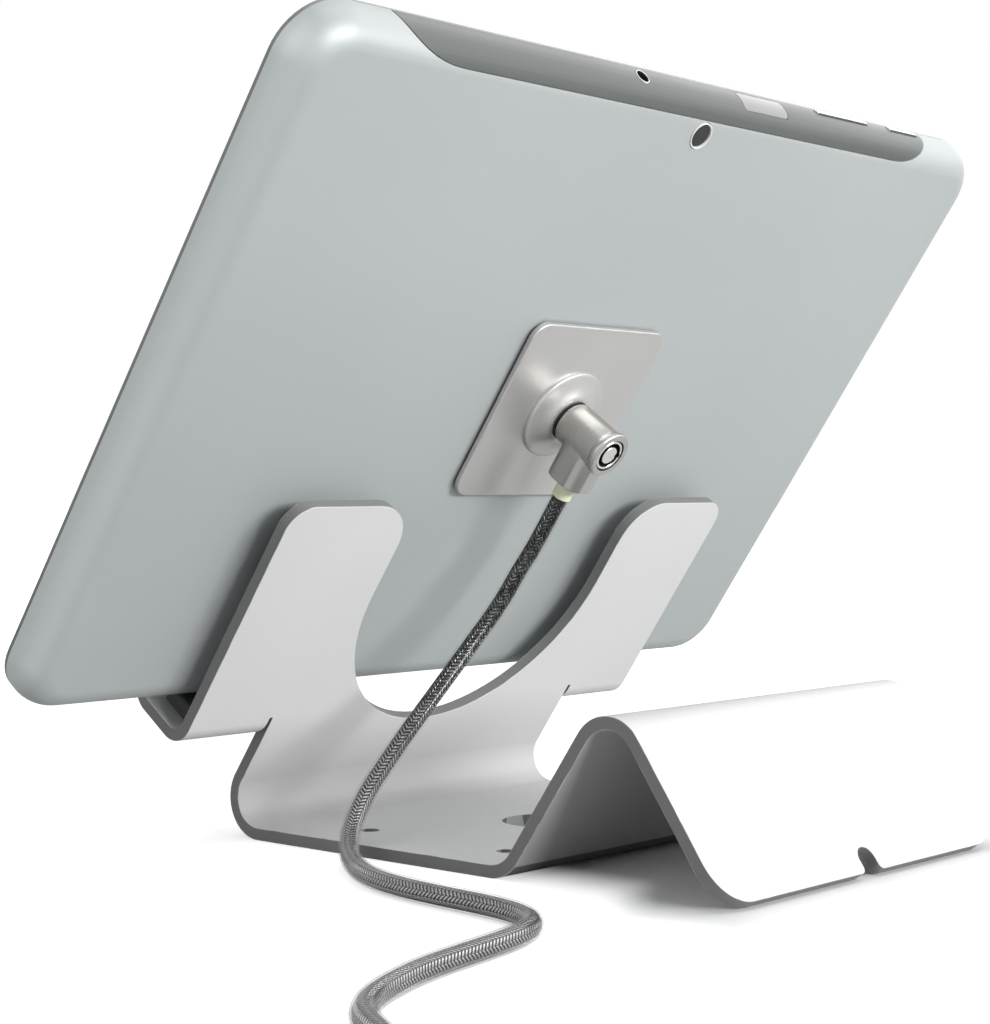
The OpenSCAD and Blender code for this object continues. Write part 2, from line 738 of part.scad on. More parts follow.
module cable_ferrule() color("#8b8c8c")
    on_arm(arm_reach - arm_bore_deep, arm_reach - sleeve_in, ferrule_r);

module cable_sleeve() color("#c3c6a6")
    on_arm(arm_reach - sleeve_in, arm_reach + sleeve_out, sleeve_r);

// smooth path through points
function spline(p, q, r, s, t) = 0.5 * (2 * q + (r - p) * t + (2 * p - 5 * q + 4 * r - s) * t * t
    + (3 * q - p - 3 * r + s) * t * t * t);
function smooth(p, k) = concat([for (i = [0:len(p) - 2], j = [0:k - 1])
    spline(p[max(i - 1, 0)], p[i], p[i + 1], p[min(i + 2, len(p) - 1)], j / k)], [p[len(p) - 1]]);
function unit(v) = v / norm(v);

// one solid tube along points, with its end rings square to d0 and d1
module tube(p, r, sides, d0, d1) {
    n = len(p);
    ways = [for (i = [0:n - 1]) i == 0 ? d0 : i == n - 1 ? d1 : unit(p[i + 1] - p[i - 1])];
    points = [for (i = [0:n - 1], k = [0:sides - 1])
        let (u = unit(cross([0, 0, 1], ways[i])), w = cross(ways[i], u), a = 360 * (k + 0.5) / sides)
        p[i] + r * (cos(a) * u + sin(a) * w)];
    walls = [for (i = [0:n - 2], k = [0:sides - 1])
        let (a = i * sides + k, b = i * sides + (k + 1) % sides)
        each [[a, a + sides, b], [b, a + sides, b + sides]]];
    first = [for (k = [1:sides - 2]) [0, k, k + 1]];
    last = [for (k = [1:sides - 2]) [(n - 1) * sides, (n - 1) * sides + k + 1, (n - 1) * sides + k]];
    polyhedron(points, concat(walls, first, last), convexity = 10);
}

lead_path = concat([cable_start],
    smooth(concat([cable_start + cable_d * down, cable_start + 3 * cable_d * down], route,
        [lead_end - [0, 5, 0]]), 2),
    [lead_end]);

// centre line of the coil: in along the table, up one layer, and out again
ring_step = 15;
turn_in = 360 * coil_turns;
turn_all = 2 * turn_in + 180;
function coil_r(t) = t < turn_in ? coil_out - coil_step * t / 360
    : t < turn_in + 180 ? coil_in : coil_in + coil_step * (t - turn_in - 180) / 360;
function coil_h(t) = t < turn_in ? 0 : t < turn_in + 180 ? (t - turn_in) / 180 : 1;
coil_mid = [for (t = [0:ring_step:turn_all])
    [coil_c[0] + coil_r(t) * cos(180 - t), coil_c[1] + coil_r(t) * sin(180 - t),
    coil_z + coil_rise * coil_h(t)]];
tail_drop = coil_z + coil_rise - crimp_z;
tail = [for (i = [1:5]) [tail_end[0], coil_c[1] - i * (tail_len - cable_d) / 5,
    crimp_z + tail_drop * (1 + cos(36 * i)) / 2]];
coil_path = concat([lead_end], coil_mid, tail, [tail_end]);
coil_self = min([for (i = [0:len(coil_path) - 13], j = [i + 12:len(coil_path) - 1])
    norm(coil_path[i] - coil_path[j])]) - cable_d;
coil_len = [for (i = 0, s = 0; i < len(coil_path); i = i + 1,
    s = s + (i < len(coil_path) ? norm(coil_path[i] - coil_path[i - 1]) : 0)) s];
echo(coil_least_gap = coil_self, coil_length = coil_len[len(coil_len) - 1]);

module cable_lead() color("#8e9090") tube(lead_path, cable_r, 8, down, [0, 1, 0]);

module cable_coil() color("#8e9090") tube(coil_path, cable_r, 6, [0, 1, 0], [0, -1, 0]);

module coil_tie() color("#2a2b2d") {
    y0 = coil_c[1] + coil_in - cable_r - 0.4;
    y1 = coil_c[1] + coil_out + cable_r + 0.4;
    h = coil_z + coil_rise + cable_r + tie_gap + tie_t;
    difference() {
        translate([coil_c[0] - tie_w / 2, y0 - tie_t, 0]) cube([tie_w, y1 - y0 + 2 * tie_t, h]);
        translate([coil_c[0] - tie_w / 2 - 1, y0, tie_t]) cube([tie_w + 2, y1 - y0, h - 2 * tie_t]);
    }
}

module eye_crimp() color("#9b9c9c")
    translate([tail_end[0] + strand_gap / 2, tail_end[1], crimp_z]) rotate([90, 0, 0])
        linear_extrude(crimp_len) round_rect(crimp_w, 2 * crimp_z, 2.8);

module anchor_eye() color("#8e9090") {
    y = tail_end[1] - crimp_len;
    x = tail_end[0];
    g = strand_gap;
    m = x + g / 2;
    side = concat([[x, y - cable_d, crimp_z]], [for (p = eye_side) [m - p[0], y - p[1], crimp_z]]);
    other = [for (i = [len(side) - 1:-1:0]) [2 * m - side[i][0], side[i][1], crimp_z]];
    loop = concat([[x, y, crimp_z]], smooth(concat(side, [[m, y - eye_len, crimp_z]], other), 2),
        [[x + g, y, crimp_z]]);
    tube(loop, cable_r, 6, [0, -1, 0], [0, 1, 0]);
}

stand_sheet();
arm_pads();
hook_liners();
rear_cover();
top_band();
front_bezel();
front_glass();
display_panel();
battery();
main_board();
board_screws();
rear_camera();
lens_ring();
rear_lens();
front_camera();
speaker_units();
speaker_meshes();
power_button();
volume_rocker();
card_cover();
jack_socket();
dock_socket();
bond_pad();
security_plate();
lock_boss();
lock_washer();
lock_housing();
keeper_pin();
key_plug();
tumbler_pins();
t_bar();
cable_ferrule();
cable_sleeve();
cable_lead();
cable_coil();
coil_tie();
eye_crimp();
anchor_eye();
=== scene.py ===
"""Tablet kiosk stand with its plate lock and security cable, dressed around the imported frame."""

import json
import math
from contextlib import contextmanager

import bpy
from bpy.props import FloatProperty, FloatVectorProperty, IntProperty, PointerProperty
from mathutils import Matrix, Vector


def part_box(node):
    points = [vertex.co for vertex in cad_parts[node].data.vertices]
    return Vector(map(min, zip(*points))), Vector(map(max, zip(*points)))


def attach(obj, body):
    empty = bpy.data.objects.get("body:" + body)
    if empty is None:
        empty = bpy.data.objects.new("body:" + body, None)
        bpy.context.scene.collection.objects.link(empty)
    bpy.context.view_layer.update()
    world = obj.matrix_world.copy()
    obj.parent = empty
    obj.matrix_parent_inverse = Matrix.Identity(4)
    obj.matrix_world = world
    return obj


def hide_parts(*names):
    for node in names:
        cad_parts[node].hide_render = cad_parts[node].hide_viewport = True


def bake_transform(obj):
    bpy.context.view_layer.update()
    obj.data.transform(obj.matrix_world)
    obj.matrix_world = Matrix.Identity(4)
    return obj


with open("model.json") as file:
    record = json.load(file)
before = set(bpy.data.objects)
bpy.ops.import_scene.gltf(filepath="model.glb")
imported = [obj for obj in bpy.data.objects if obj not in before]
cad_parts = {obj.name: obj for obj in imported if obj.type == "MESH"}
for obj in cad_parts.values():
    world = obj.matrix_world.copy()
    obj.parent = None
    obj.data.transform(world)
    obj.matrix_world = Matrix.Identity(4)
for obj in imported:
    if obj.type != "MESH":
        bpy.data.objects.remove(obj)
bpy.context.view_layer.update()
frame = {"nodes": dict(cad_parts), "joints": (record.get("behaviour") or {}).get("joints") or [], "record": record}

bl_info = {
    "name": "Tablet kiosk stand",
    "version": (1, 0, 0),
    "blender": (4, 5, 0),
    "location": "View3D > Sidebar > Kiosk",
    "description": "Models the pieces and finishes of a tablet stand with a plate lock and cable",
    "category": "Object",
}

MM = 0.001

# The tablet's own frame: x across it, v up it and n out of its screen, from its lower back edge.
JOINTS = {joint["name"]: joint for joint in frame["joints"]}
MOUNTS = {mount["name"]: mount for mount in frame["record"]["mounts"]}
ACROSS = Vector((1, 0, 0))
UP = Vector(JOINTS["tablet_lift"]["axis"]).normalized()
OUT = Vector(JOINTS["key_turn"]["axis"]).normalized()
TABLET_H = 175.3 * MM
TABLET_W = 256.7 * MM
TABLET_T = 9.7 * MM
KEY_FACE = 20.6 * MM
LOCK_AT = Vector(MOUNTS["key_face"]["pos_m"]) + OUT * KEY_FACE
TABLET_AT = LOCK_AT - UP * TABLET_H / 2


def axes_matrix(x, y, z, place):
    """The matrix that puts a local frame with these axes at a place."""
    turn = Matrix((x, y, z)).transposed().to_4x4()
    return Matrix.Translation(place) @ turn


TABLET = axes_matrix(ACROSS, UP, OUT, TABLET_AT)
LOCK = axes_matrix(-ACROSS, UP, -OUT, LOCK_AT)
JACK_AT = Vector((24 * MM, TABLET_H - 0.4 * MM, 5 * MM))
JACK_TILT = math.radians(19)
JACK = Matrix.Translation(JACK_AT) @ Matrix.Rotation(-math.pi / 2 - JACK_TILT, 4, "X")

# Places on the tablet. Ends are measured in from its left edge as the screen's viewer sees it, the band's
# right end from the right edge, and depths from its back.
HALF_W = TABLET_W / 2
FRAME_T = 1 * MM
LENS_DROP = 9.8 * MM
LENS_AT = Matrix.Translation((0, TABLET_H - LENS_DROP, 0))
LENS_HOLE = 3.6 * MM
LENS_DEEP = 3 * MM
JACK_HOLE = 2.05 * MM
JACK_DEEP = 5 * MM
BAND_LEFT = 46.35 * MM
BAND_LEFT_RUN = 19 * MM
BAND_RIGHT = 45.35 * MM
BAND_RIGHT_RUN = 21 * MM
BAND_CURVE = 2.4
CARD_ENDS = (95.2 * MM, 113.85 * MM)
CARD_N = (2.45 * MM, 7.7 * MM)
CARD_DEEP = 6 * MM
POWER_ENDS = (30.55 * MM, 44.65 * MM)
ROCKER_ENDS = (55.55 * MM, 79.15 * MM)
KEY_N = (6 * MM, 8.2 * MM)
KEY_DEEP = 2.9 * MM
DOCK_HALF = 10.65 * MM
DOCK_N = (3.25 * MM, 5.95 * MM)
DOCK_DEEP = 4 * MM
SCREEN_HALF_W = 108 * MM
SCREEN_HALF_H = 67.5 * MM
SCREEN_FADE = 0.4 * MM
# Extent of the painted highlight along the side rims, measured in from the edge
RIM_IN = 5 * MM
RIM_OUT = 0.5 * MM

# Heights and radii of the plate and lock, measured from the tablet's back and the lock's axis
PLATE_N = (0.6 * MM, 2.1 * MM)
BOSS_R = 12.4 * MM
BOSS_TOP = 5.2 * MM
BOSS_DOME = ((12.4, 2.5), (12.25, 2.9), (11.7, 3.16), (10.5, 3.46), (9.3, 3.8), (8.3, 4.2), (7.5, 4.62),
             (6.9, 4.95), (6.3, 5.14), (5.7, 5.2))
BOSS_HOLE = 3.9 * MM
HEAD_BASE = 5.8 * MM
HEAD_FACE = 20.8 * MM
BARREL_R = 5.7 * MM
COLLAR_R = 6.1 * MM
PLUG_BASE = 7.9 * MM
PLUG_R = 4.1 * MM
PLUG_BORE = 4.4 * MM
BORE_BASE = 7.6 * MM
KEYWAY_OUT = 3.45 * MM
KEYWAY_IN = 2.35 * MM
KEYWAY_DEEP = 6 * MM
ARM_AXIS = 13.6 * MM
ARM_REACH = 12.7 * MM
ARM_HALF_W = 5 * MM
ARM_HALF_T = 5.5 * MM
ARM_CORNER = 3.9 * MM
ARM_BORE = 2.75 * MM
ARM_BORE_DEEP = 7 * MM
SLEEVE_IN = 2 * MM
SLEEVE_OUT = 4.6 * MM

# Edge roundings and corners
SHELL_EDGE = 0.12 * MM
FRAME_EDGE = 0.1 * MM
KEY_EDGE = 0.15 * MM
PLATE_EDGE = 0.35 * MM
RUBBER_EDGE = 0.5 * MM
PAD_CORNER = 3 * MM
LINER_CORNER = 0.8 * MM
STRAP_EDGE = 0.12 * MM
STRAP_CORNER = 3 * MM
STRAP_T = 0.5 * MM

# Clearances and tolerances
BAND_SEAM = 0.15 * MM
CARD_SEAM = 0.18 * MM
TOOL_PAST = 1 * MM
SAME_POINT = 1e-6
PARALLEL = 0.999
FACING = 0.99


# Settings that a user would change

def length(name, text, default):
    """A length setting in metres."""
    return FloatProperty(name=name, description=text, default=default, min=0, unit="LENGTH", precision=5)


def colour(name, text, default):
    """A colour setting."""
    return FloatVectorProperty(name=name, description=text, default=default, size=3, min=0, max=1,
                               subtype="COLOR")


def share(name, text, default):
    """A setting from 0 to 1."""
    return FloatProperty(name=name, description=text, default=default, min=0, max=1, subtype="FACTOR")


def watts(name, text, default):
    """A lamp's power."""
    return FloatProperty(name=name, description=text, default=default, min=0, unit="POWER")


class KioskStand(bpy.types.PropertyGroup):
    """Bent sheet and its rubber"""
    edge_round: length("Edge rounding", "Rounding of the sheet's cut edges", 0.4 * MM)
    sheet: colour("Sheet", "Colour of the satin sheet", (0.70, 0.70, 0.70))
    sheet_rough: share("Sheet roughness", "Roughness of the satin sheet", 0.46)
    # Painted shade: the sheet's cut edges are darkened to this share of its colour.
    cut_edge_shade: share("Cut edges", "Tone of the raw cut edges against the sheet's faces", 0.35)
    rubber: colour("Rubber", "Colour of the pads and liners", (0.07, 0.07, 0.072))


class KioskTablet(bpy.types.PropertyGroup):
    """Tablet shell and trim"""
    corner: length("Corner", "Corner radius of the tablet", 13.5 * MM)
    back_round: length("Back rounding", "Radius of the back edge", 7.4 * MM)
    wall: length("Wall", "Wall of the rear cover", 1.4 * MM)
    card_corner: length("Card corner", "Corner radius of the card cover", 1.1 * MM)
    band_h: length("Band height", "Height of the dark band", 5.8 * MM)
    back: colour("Back", "Colour of the back", (0.47, 0.499, 0.502))
    # Painted highlight: the back's side rims are lightened by this gain.
    rim_highlight: FloatProperty(name="Rim", description="Tone of the side rims against the back", default=1.35,
                            min=0)
    band: colour("Band", "Colour of the dark band", (0.10, 0.109, 0.106))
    card: colour("Card cover", "Colour of the card cover", (0.23, 0.23, 0.226))
    trim: colour("Trim", "Colour of the white trim", (0.85, 0.855, 0.85))


class KioskLock(bpy.types.PropertyGroup):
    """Plate, boss and lock head"""
    plate_w: length("Plate", "Side of the square plate", 50 * MM)
    plate_corner: length("Plate corner", "Corner radius of the plate", 4.5 * MM)
    cast_voxel: length("Cast detail", "Voxel size of the cast head's skin", 0.2 * MM)
    plate: colour("Plate colour", "Colour of the plate and boss", (0.555, 0.55, 0.54))
    nickel: colour("Nickel", "Colour of the lock head", (0.495, 0.487, 0.465))


class KioskCable(bpy.types.PropertyGroup):
    """Security cable"""
    jacket_d: length("Jacket diameter", "Outside diameter of the clear jacket", 5 * MM)
    core_d: length("Core diameter", "Diameter of the steel braid", 4.2 * MM)
    braid_pitch: length("Braid pitch", "Length of one chevron of the braid", 1.15 * MM)
    braid_columns: IntProperty(name="Braid columns", description="Chevron columns round the braid",
                               default=5, min=4, max=16)
    steel: colour("Steel", "Colour of the braid", (0.52, 0.522, 0.516))
    # Painted shade of the hanging braid, not dulling; the same colour tints the braid's stains.
    hung_shade_and_stain: colour("Dull steel", "Colour of the hanging braid, dulled by handling", (0.22, 0.223, 0.22))
    jacket: colour("Jacket", "Tint of the clear jacket", (0.16, 0.17, 0.16))
    sleeve: colour("Sleeve", "Colour of the pale sleeve", (0.84, 0.87, 0.62))


class KioskStage(bpy.types.PropertyGroup):
    """Floor, light and camera"""
    lens: FloatProperty(name="Lens", description="Focal length of the camera", default=75.3, min=10,
                        unit="CAMERA")
    floor: share("Floor", "Whiteness of the floor as the camera sees it", 0.95)
    bounce: share("Bounce", "Share of light that the floor throws back at the object", 0.5)
    world: share("World", "Strength of the all-round light", 0.18)
    key_power: watts("Key", "Power of the rear softbox", 22.3)
    side_power: watts("Side", "Power of the side softbox", 6)
    top_power: watts("Top", "Power of the top softbox", 4)
    far_power: watts("Far", "Power of the far softbox", 9)


# Modelling helpers

def select_only(*pieces):
    """Leaves only these pieces selected, with the first one active."""
    bpy.ops.object.select_all(action="DESELECT")
    for piece in pieces:
        piece.select_set(True)
    bpy.context.view_layer.objects.active = pieces[0]


@contextmanager
def editing(piece, mode="VERT"):
    """Edit mode on one piece, with nothing selected."""
    select_only(piece)
    bpy.ops.object.mode_set(mode="EDIT")
    bpy.ops.mesh.select_mode(type=mode)
    bpy.ops.mesh.select_all(action="DESELECT")
    yield piece
    bpy.ops.object.mode_set(mode="OBJECT")


def choose(piece, kind, test):
    """Selects the vertices, edges or faces of a piece in edit mode that pass a test."""
    bpy.ops.object.mode_set(mode="OBJECT")
    for item in getattr(piece.data, kind):
        item.select = test(item)
    bpy.ops.object.mode_set(mode="EDIT")


def runs_along(piece, axis):
    """A test for edges that run along one axis."""
    def test(edge):
        a, b = (piece.data.vertices[i].co for i in edge.vertices)
        way = (b - a).normalized()
        return abs(way[axis]) > PARALLEL
    return test


def apply(piece, kind, **values):
    """Adds a modifier with these values and applies it."""
    select_only(piece)
    modifier = piece.modifiers.new(kind.lower(), kind)
    for key, value in values.items():
        setattr(modifier, key, value)
    bpy.ops.object.modifier_apply(modifier=modifier.name)


def block(name, low, high):
    """A box between two corners."""
    bpy.ops.object.select_all(action="DESELECT")
    bpy.ops.mesh.primitive_cube_add(size=1)
    piece = bpy.context.object
    piece.name = name
    size = Vector(high) - Vector(low)
    middle = (Vector(low) + Vector(high)) / 2
    piece.data.transform(Matrix.Translation(middle) @ Matrix.Diagonal(size).to_4x4())
    return piece


def rounded_block(name, low, high, axis, corner, segments=8):
    """A box whose edges along one axis are rounded."""
    piece = block(name, low, high)
    with editing(piece, "EDGE"):
        choose(piece, "edges", runs_along(piece, axis))
        bpy.ops.mesh.bevel(offset=corner, segments=segments, affect="EDGES")
    return piece


def in_mm(*rings):
    """Rings of (radius, height), given in millimetres."""
    return [(radius * MM, height * MM) for radius, height in rings]


def lathe(name, profile, sides=64):
    """A closed body turned from rings of (radius, height), each one extruded from the last."""
    bpy.ops.object.select_all(action="DESELECT")
    radius, height = profile[0]
    bpy.ops.mesh.primitive_circle_add(vertices=sides, radius=radius, fill_type="NGON", location=(0, 0, 0))
    piece = bpy.context.object
    piece.name = name
    piece.data.transform(Matrix.Translation((0, 0, height)))
    bpy.ops.object.mode_set(mode="EDIT")
    bpy.ops.mesh.select_all(action="SELECT")
    for next_radius, next_height in profile[1:]:
        bpy.ops.mesh.extrude_region_move(TRANSFORM_OT_translate={"value": (0, 0, next_height - height)})
        grow = next_radius / radius
        bpy.ops.transform.resize(value=(grow, grow, 1), center_override=(0, 0, next_height))
        radius, height = next_radius, next_height
    bpy.ops.mesh.select_all(action="SELECT")
    bpy.ops.mesh.remove_doubles(threshold=SAME_POINT / 10)
    bpy.ops.mesh.normals_make_consistent(inside=False)
    bpy.ops.object.mode_set(mode="OBJECT")
    return piece


def combine(piece, operation, *tools):
    """Cuts, joins or crosses a piece with tool pieces and deletes those."""
    for tool in tools:
        apply(piece, "BOOLEAN", object=tool, operation=operation, solver="EXACT")
        bpy.data.objects.remove(tool)


def in_arm(depth):
    """The place in the lock's frame at a depth in its cable arm, with z down the cable."""
    turn = Matrix.Rotation(math.pi / 2, 4, "X")
    return Matrix.Translation((0, depth - ARM_REACH, ARM_AXIS)) @ turn


def put(piece, matrix):
    """Moves a piece's mesh into its place in the frame."""
    piece.data.transform(matrix)
    return piece


def smooth(piece, degrees=35):
    """Smooth shading that keeps edges sharper than an angle, with flat faces left flat."""
    select_only(piece)
    bpy.ops.object.shade_smooth_by_angle(angle=math.radians(degrees))
    apply(piece, "WEIGHTED_NORMAL", keep_sharp=True, weight=80)


def round_edges(piece, width, segments=2, degrees=40):
    """Rounds a piece's sharp edges and marks the new faces for the rubbed finish."""
    piece.data.materials.clear()
    for _ in range(2):
        piece.data.materials.append(None)
    apply(piece, "BEVEL", width=width, segments=segments, limit_method="ANGLE",
          angle_limit=math.radians(degrees), material=1, use_clamp_overlap=True)
    edge = piece.data.attributes.new("edge", "FLOAT", "FACE")
    for face in piece.data.polygons:
        edge.data[face.index].value = face.material_index
        face.material_index = 0
    piece.data.materials.clear()


def softened_copy(node, name, width, segments=2, degrees=40):
    """A copy of a CAD node with its triangles merged and its sharp edges rounded."""
    source = frame["nodes"][node]
    piece = bpy.data.objects.new(name, source.data.copy())
    bpy.context.scene.collection.objects.link(piece)
    with editing(piece):
        bpy.ops.mesh.select_all(action="SELECT")
        bpy.ops.mesh.customdata_custom_splitnormals_clear()
        bpy.ops.mesh.remove_doubles(threshold=SAME_POINT)
        bpy.ops.mesh.dissolve_limited(angle_limit=math.radians(0.5))
    round_edges(piece, width, segments, degrees)
    smooth(piece)
    return piece


def seat(piece, body, slot, *nodes):
    """Rides a piece on a body and lets it stand for CAD nodes, which it hides. The slot is not used."""
    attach(piece, body)
    if nodes:
        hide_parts(*nodes)
    return piece


def paint(piece, material):
    """Gives a piece one material."""
    piece.data.materials.clear()
    piece.data.materials.append(material)
    return piece


def dress(material, *nodes):
    """Gives CAD nodes that stay a material."""
    for node in nodes:
        paint(frame["nodes"][node], material)


# Node helpers and shared effects

def new_group(name, inputs, outputs):
    """An empty shader group with named sockets, as its tree, its input node and its output node."""
    tree = bpy.data.node_groups.new(name, "ShaderNodeTree")
    for label, kind, default in inputs:
        socket = tree.interface.new_socket(label, in_out="INPUT", socket_type=kind)
        if default is not None:
            socket.default_value = default
    for label, kind in outputs:
        tree.interface.new_socket(label, in_out="OUTPUT", socket_type=kind)
    return tree, tree.nodes.new("NodeGroupInput"), tree.nodes.new("NodeGroupOutput")


def wire(tree, source, target):
    """Links an output socket to an input socket, or sets a plain value."""
    if isinstance(source, bpy.types.NodeSocket):
        tree.links.new(source, target)
    else:
        target.default_value = source


def math_node(tree, operation, *values):
    """A Math node's output."""
    node = tree.nodes.new("ShaderNodeMath")
    node.operation = operation
    for value, socket in zip(values, node.inputs):
        wire(tree, value, socket)
    return node.outputs[0]


def vector_node(tree, operation, *values):
    """A Vector Math node's output."""
    node = tree.nodes.new("ShaderNodeVectorMath")
    node.operation = operation
    for value, socket in zip(values, node.inputs):
        wire(tree, value, socket)
    return node.outputs["Value" if operation == "DOT_PRODUCT" else "Vector"]


def mix_colours(tree, factor, a, b):
    """A Mix node's colour output."""
    node = tree.nodes.new("ShaderNodeMix")
    node.data_type = "RGBA"
    wire(tree, factor, node.inputs[0])
    wire(tree, a, node.inputs[6])
    wire(tree, b, node.inputs[7])
    return node.outputs[2]


def split(tree, vector):
    """The three parts of a vector."""
    node = tree.nodes.new("ShaderNodeSeparateXYZ")
    wire(tree, vector, node.inputs[0])
    return node.outputs


def attribute(tree, name):
    """A piece's own attribute as a value."""
    node = tree.nodes.new("ShaderNodeAttribute")
    node.attribute_name = name
    return node.outputs["Fac"]


def object_place(tree):
    """The place of a point on its piece."""
    return tree.nodes.new("ShaderNodeTexCoord").outputs["Object"]


def distance_along(tree, place, way):
    """How far a place lies along a direction, to either side."""
    return math_node(tree, "ABSOLUTE", vector_node(tree, "DOT_PRODUCT", place, way))


def remap(tree, value, low, high, start=0.0, end=1.0):
    """A value from start to end mapped to low to high, smoothly and clamped."""
    node = tree.nodes.new("ShaderNodeMapRange")
    node.interpolation_type = "SMOOTHSTEP"
    for item, socket in zip((value, start, end, low, high), node.inputs):
        wire(tree, item, socket)
    return node.outputs[0]


def noise(tree, vector, scale, detail=3.0):
    """A noise value over a vector."""
    node = tree.nodes.new("ShaderNodeTexNoise")
    wire(tree, vector, node.inputs["Vector"])
    wire(tree, scale, node.inputs["Scale"])
    node.inputs["Detail"].default_value = detail
    return node.outputs[0]


def surface_group():
    """Fine grain and broad smudges over a surface."""
    found = bpy.data.node_groups.get("surface_grain")
    if found:
        return found
    tree, given, out = new_group(
        "surface_grain",
        [("Vector", "NodeSocketVector", None), ("Grain scale", "NodeSocketFloat", 3000.0),
         ("Smudge scale", "NodeSocketFloat", 25.0)],
        [("Grain", "NodeSocketFloat"), ("Smudge", "NodeSocketFloat")])
    grain = noise(tree, given.outputs["Vector"], given.outputs["Grain scale"], 2.0)
    wire(tree, grain, out.inputs["Grain"])
    broad = noise(tree, given.outputs["Vector"], given.outputs["Smudge scale"], 2.0)
    wire(tree, remap(tree, broad, 0.0, 1.0, 0.15, 0.85), out.inputs["Smudge"])
    return tree


def edge_group():
    """Colour rubbed bright along the rounded edges."""
    found = bpy.data.node_groups.get("edge_rub")
    if found:
        return found
    tree, given, out = new_group(
        "edge_rub",
        [("Colour", "NodeSocketColor", None), ("Rubbed", "NodeSocketColor", None),
         ("Vector", "NodeSocketVector", None)],
        [("Colour", "NodeSocketColor"), ("Mask", "NodeSocketFloat")])
    patch_scale, patch_detail = 180.0, 4.0
    patches = noise(tree, given.outputs["Vector"], patch_scale, patch_detail)
    rubbed = remap(tree, patches, 0.25, 1.0, 0.35, 0.6)
    mask = math_node(tree, "MULTIPLY", attribute(tree, "edge"), rubbed)
    wire(tree, mask, out.inputs["Mask"])
    tone = mix_colours(tree, mask, given.outputs["Colour"], given.outputs["Rubbed"])
    wire(tree, tone, out.inputs["Colour"])
    return tree


def braid_group():
    """Chevrons of a round wire braid, from turns round it and metres along it."""
    found = bpy.data.node_groups.get("wire_braid")
    if found:
        return found
    tree, given, out = new_group(
        "wire_braid",
        [("UV", "NodeSocketVector", None), ("Columns", "NodeSocketFloat", 8.0),
         ("Pitch", "NodeSocketFloat", 0.001)],
        [("Height", "NodeSocketFloat"), ("Gap", "NodeSocketFloat")])
    strand_climb, strand_crest, seam_width = 2.2, 0.4, 0.1
    half_column, quarter_column = 0.5, 0.25
    turn, run, _ = split(tree, given.outputs["UV"])
    column = math_node(tree, "MULTIPLY", turn, given.outputs["Columns"])
    zigzag = math_node(tree, "PINGPONG", column, half_column)
    along = math_node(tree, "DIVIDE", run, given.outputs["Pitch"])
    lean = math_node(tree, "MULTIPLY_ADD", zigzag, strand_climb, along)
    wave = math_node(tree, "SINE", math_node(tree, "MULTIPLY", lean, 2 * math.pi))
    strand = remap(tree, wave, 0.0, 1.0, -1.0, strand_crest)
    seam = math_node(tree, "PINGPONG", column, quarter_column)
    crown = remap(tree, seam, 0.5, 1.0, 0.0, seam_width)
    height = math_node(tree, "MULTIPLY", strand, crown)
    wire(tree, height, out.inputs["Height"])
    wire(tree, math_node(tree, "SUBTRACT", 1.0, height), out.inputs["Gap"])
    return tree


def use_group(tree, group, **values):
    """Places a group in a tree with its inputs set or linked."""
    node = tree.nodes.new("ShaderNodeGroup")
    node.node_tree = group
    for label, value in values.items():
        wire(tree, value, node.inputs[label.replace("_", " ")])
    return node.outputs


def rgba(colour_values, gain=1.0):
    """A colour with an alpha of 1, made lighter or darker by a gain."""
    return tuple(min(1.0, c * gain) for c in colour_values) + (1.0,)


def new_material(name):
    """An empty material, as the material, its tree and its Principled shader."""
    material = bpy.data.materials.new(name)
    material.use_nodes = True
    tree = material.node_tree
    tree.nodes.clear()
    shader = tree.nodes.new("ShaderNodeBsdfPrincipled")
    out = tree.nodes.new("ShaderNodeOutputMaterial")
    tree.links.new(shader.outputs[0], out.inputs[0])
    return material, tree, shader


def bump(tree, shader, height, strength, distance):
    """Feeds a height into a shader's normal."""
    node = tree.nodes.new("ShaderNodeBump")
    node.inputs["Strength"].default_value = strength
    node.inputs["Distance"].default_value = distance
    wire(tree, height, node.inputs["Height"])
    wire(tree, node.outputs[0], shader.inputs["Normal"])


# Finishes

SMUDGE_DARK = 0.965
SMUDGE_PALE = 1.03
GRAIN_HEIGHT = 0.02 * MM
STRAND_HEIGHT = 0.35 * MM
THREAD_HEIGHT = 0.1 * MM
COAT_ROUGH = 0.08


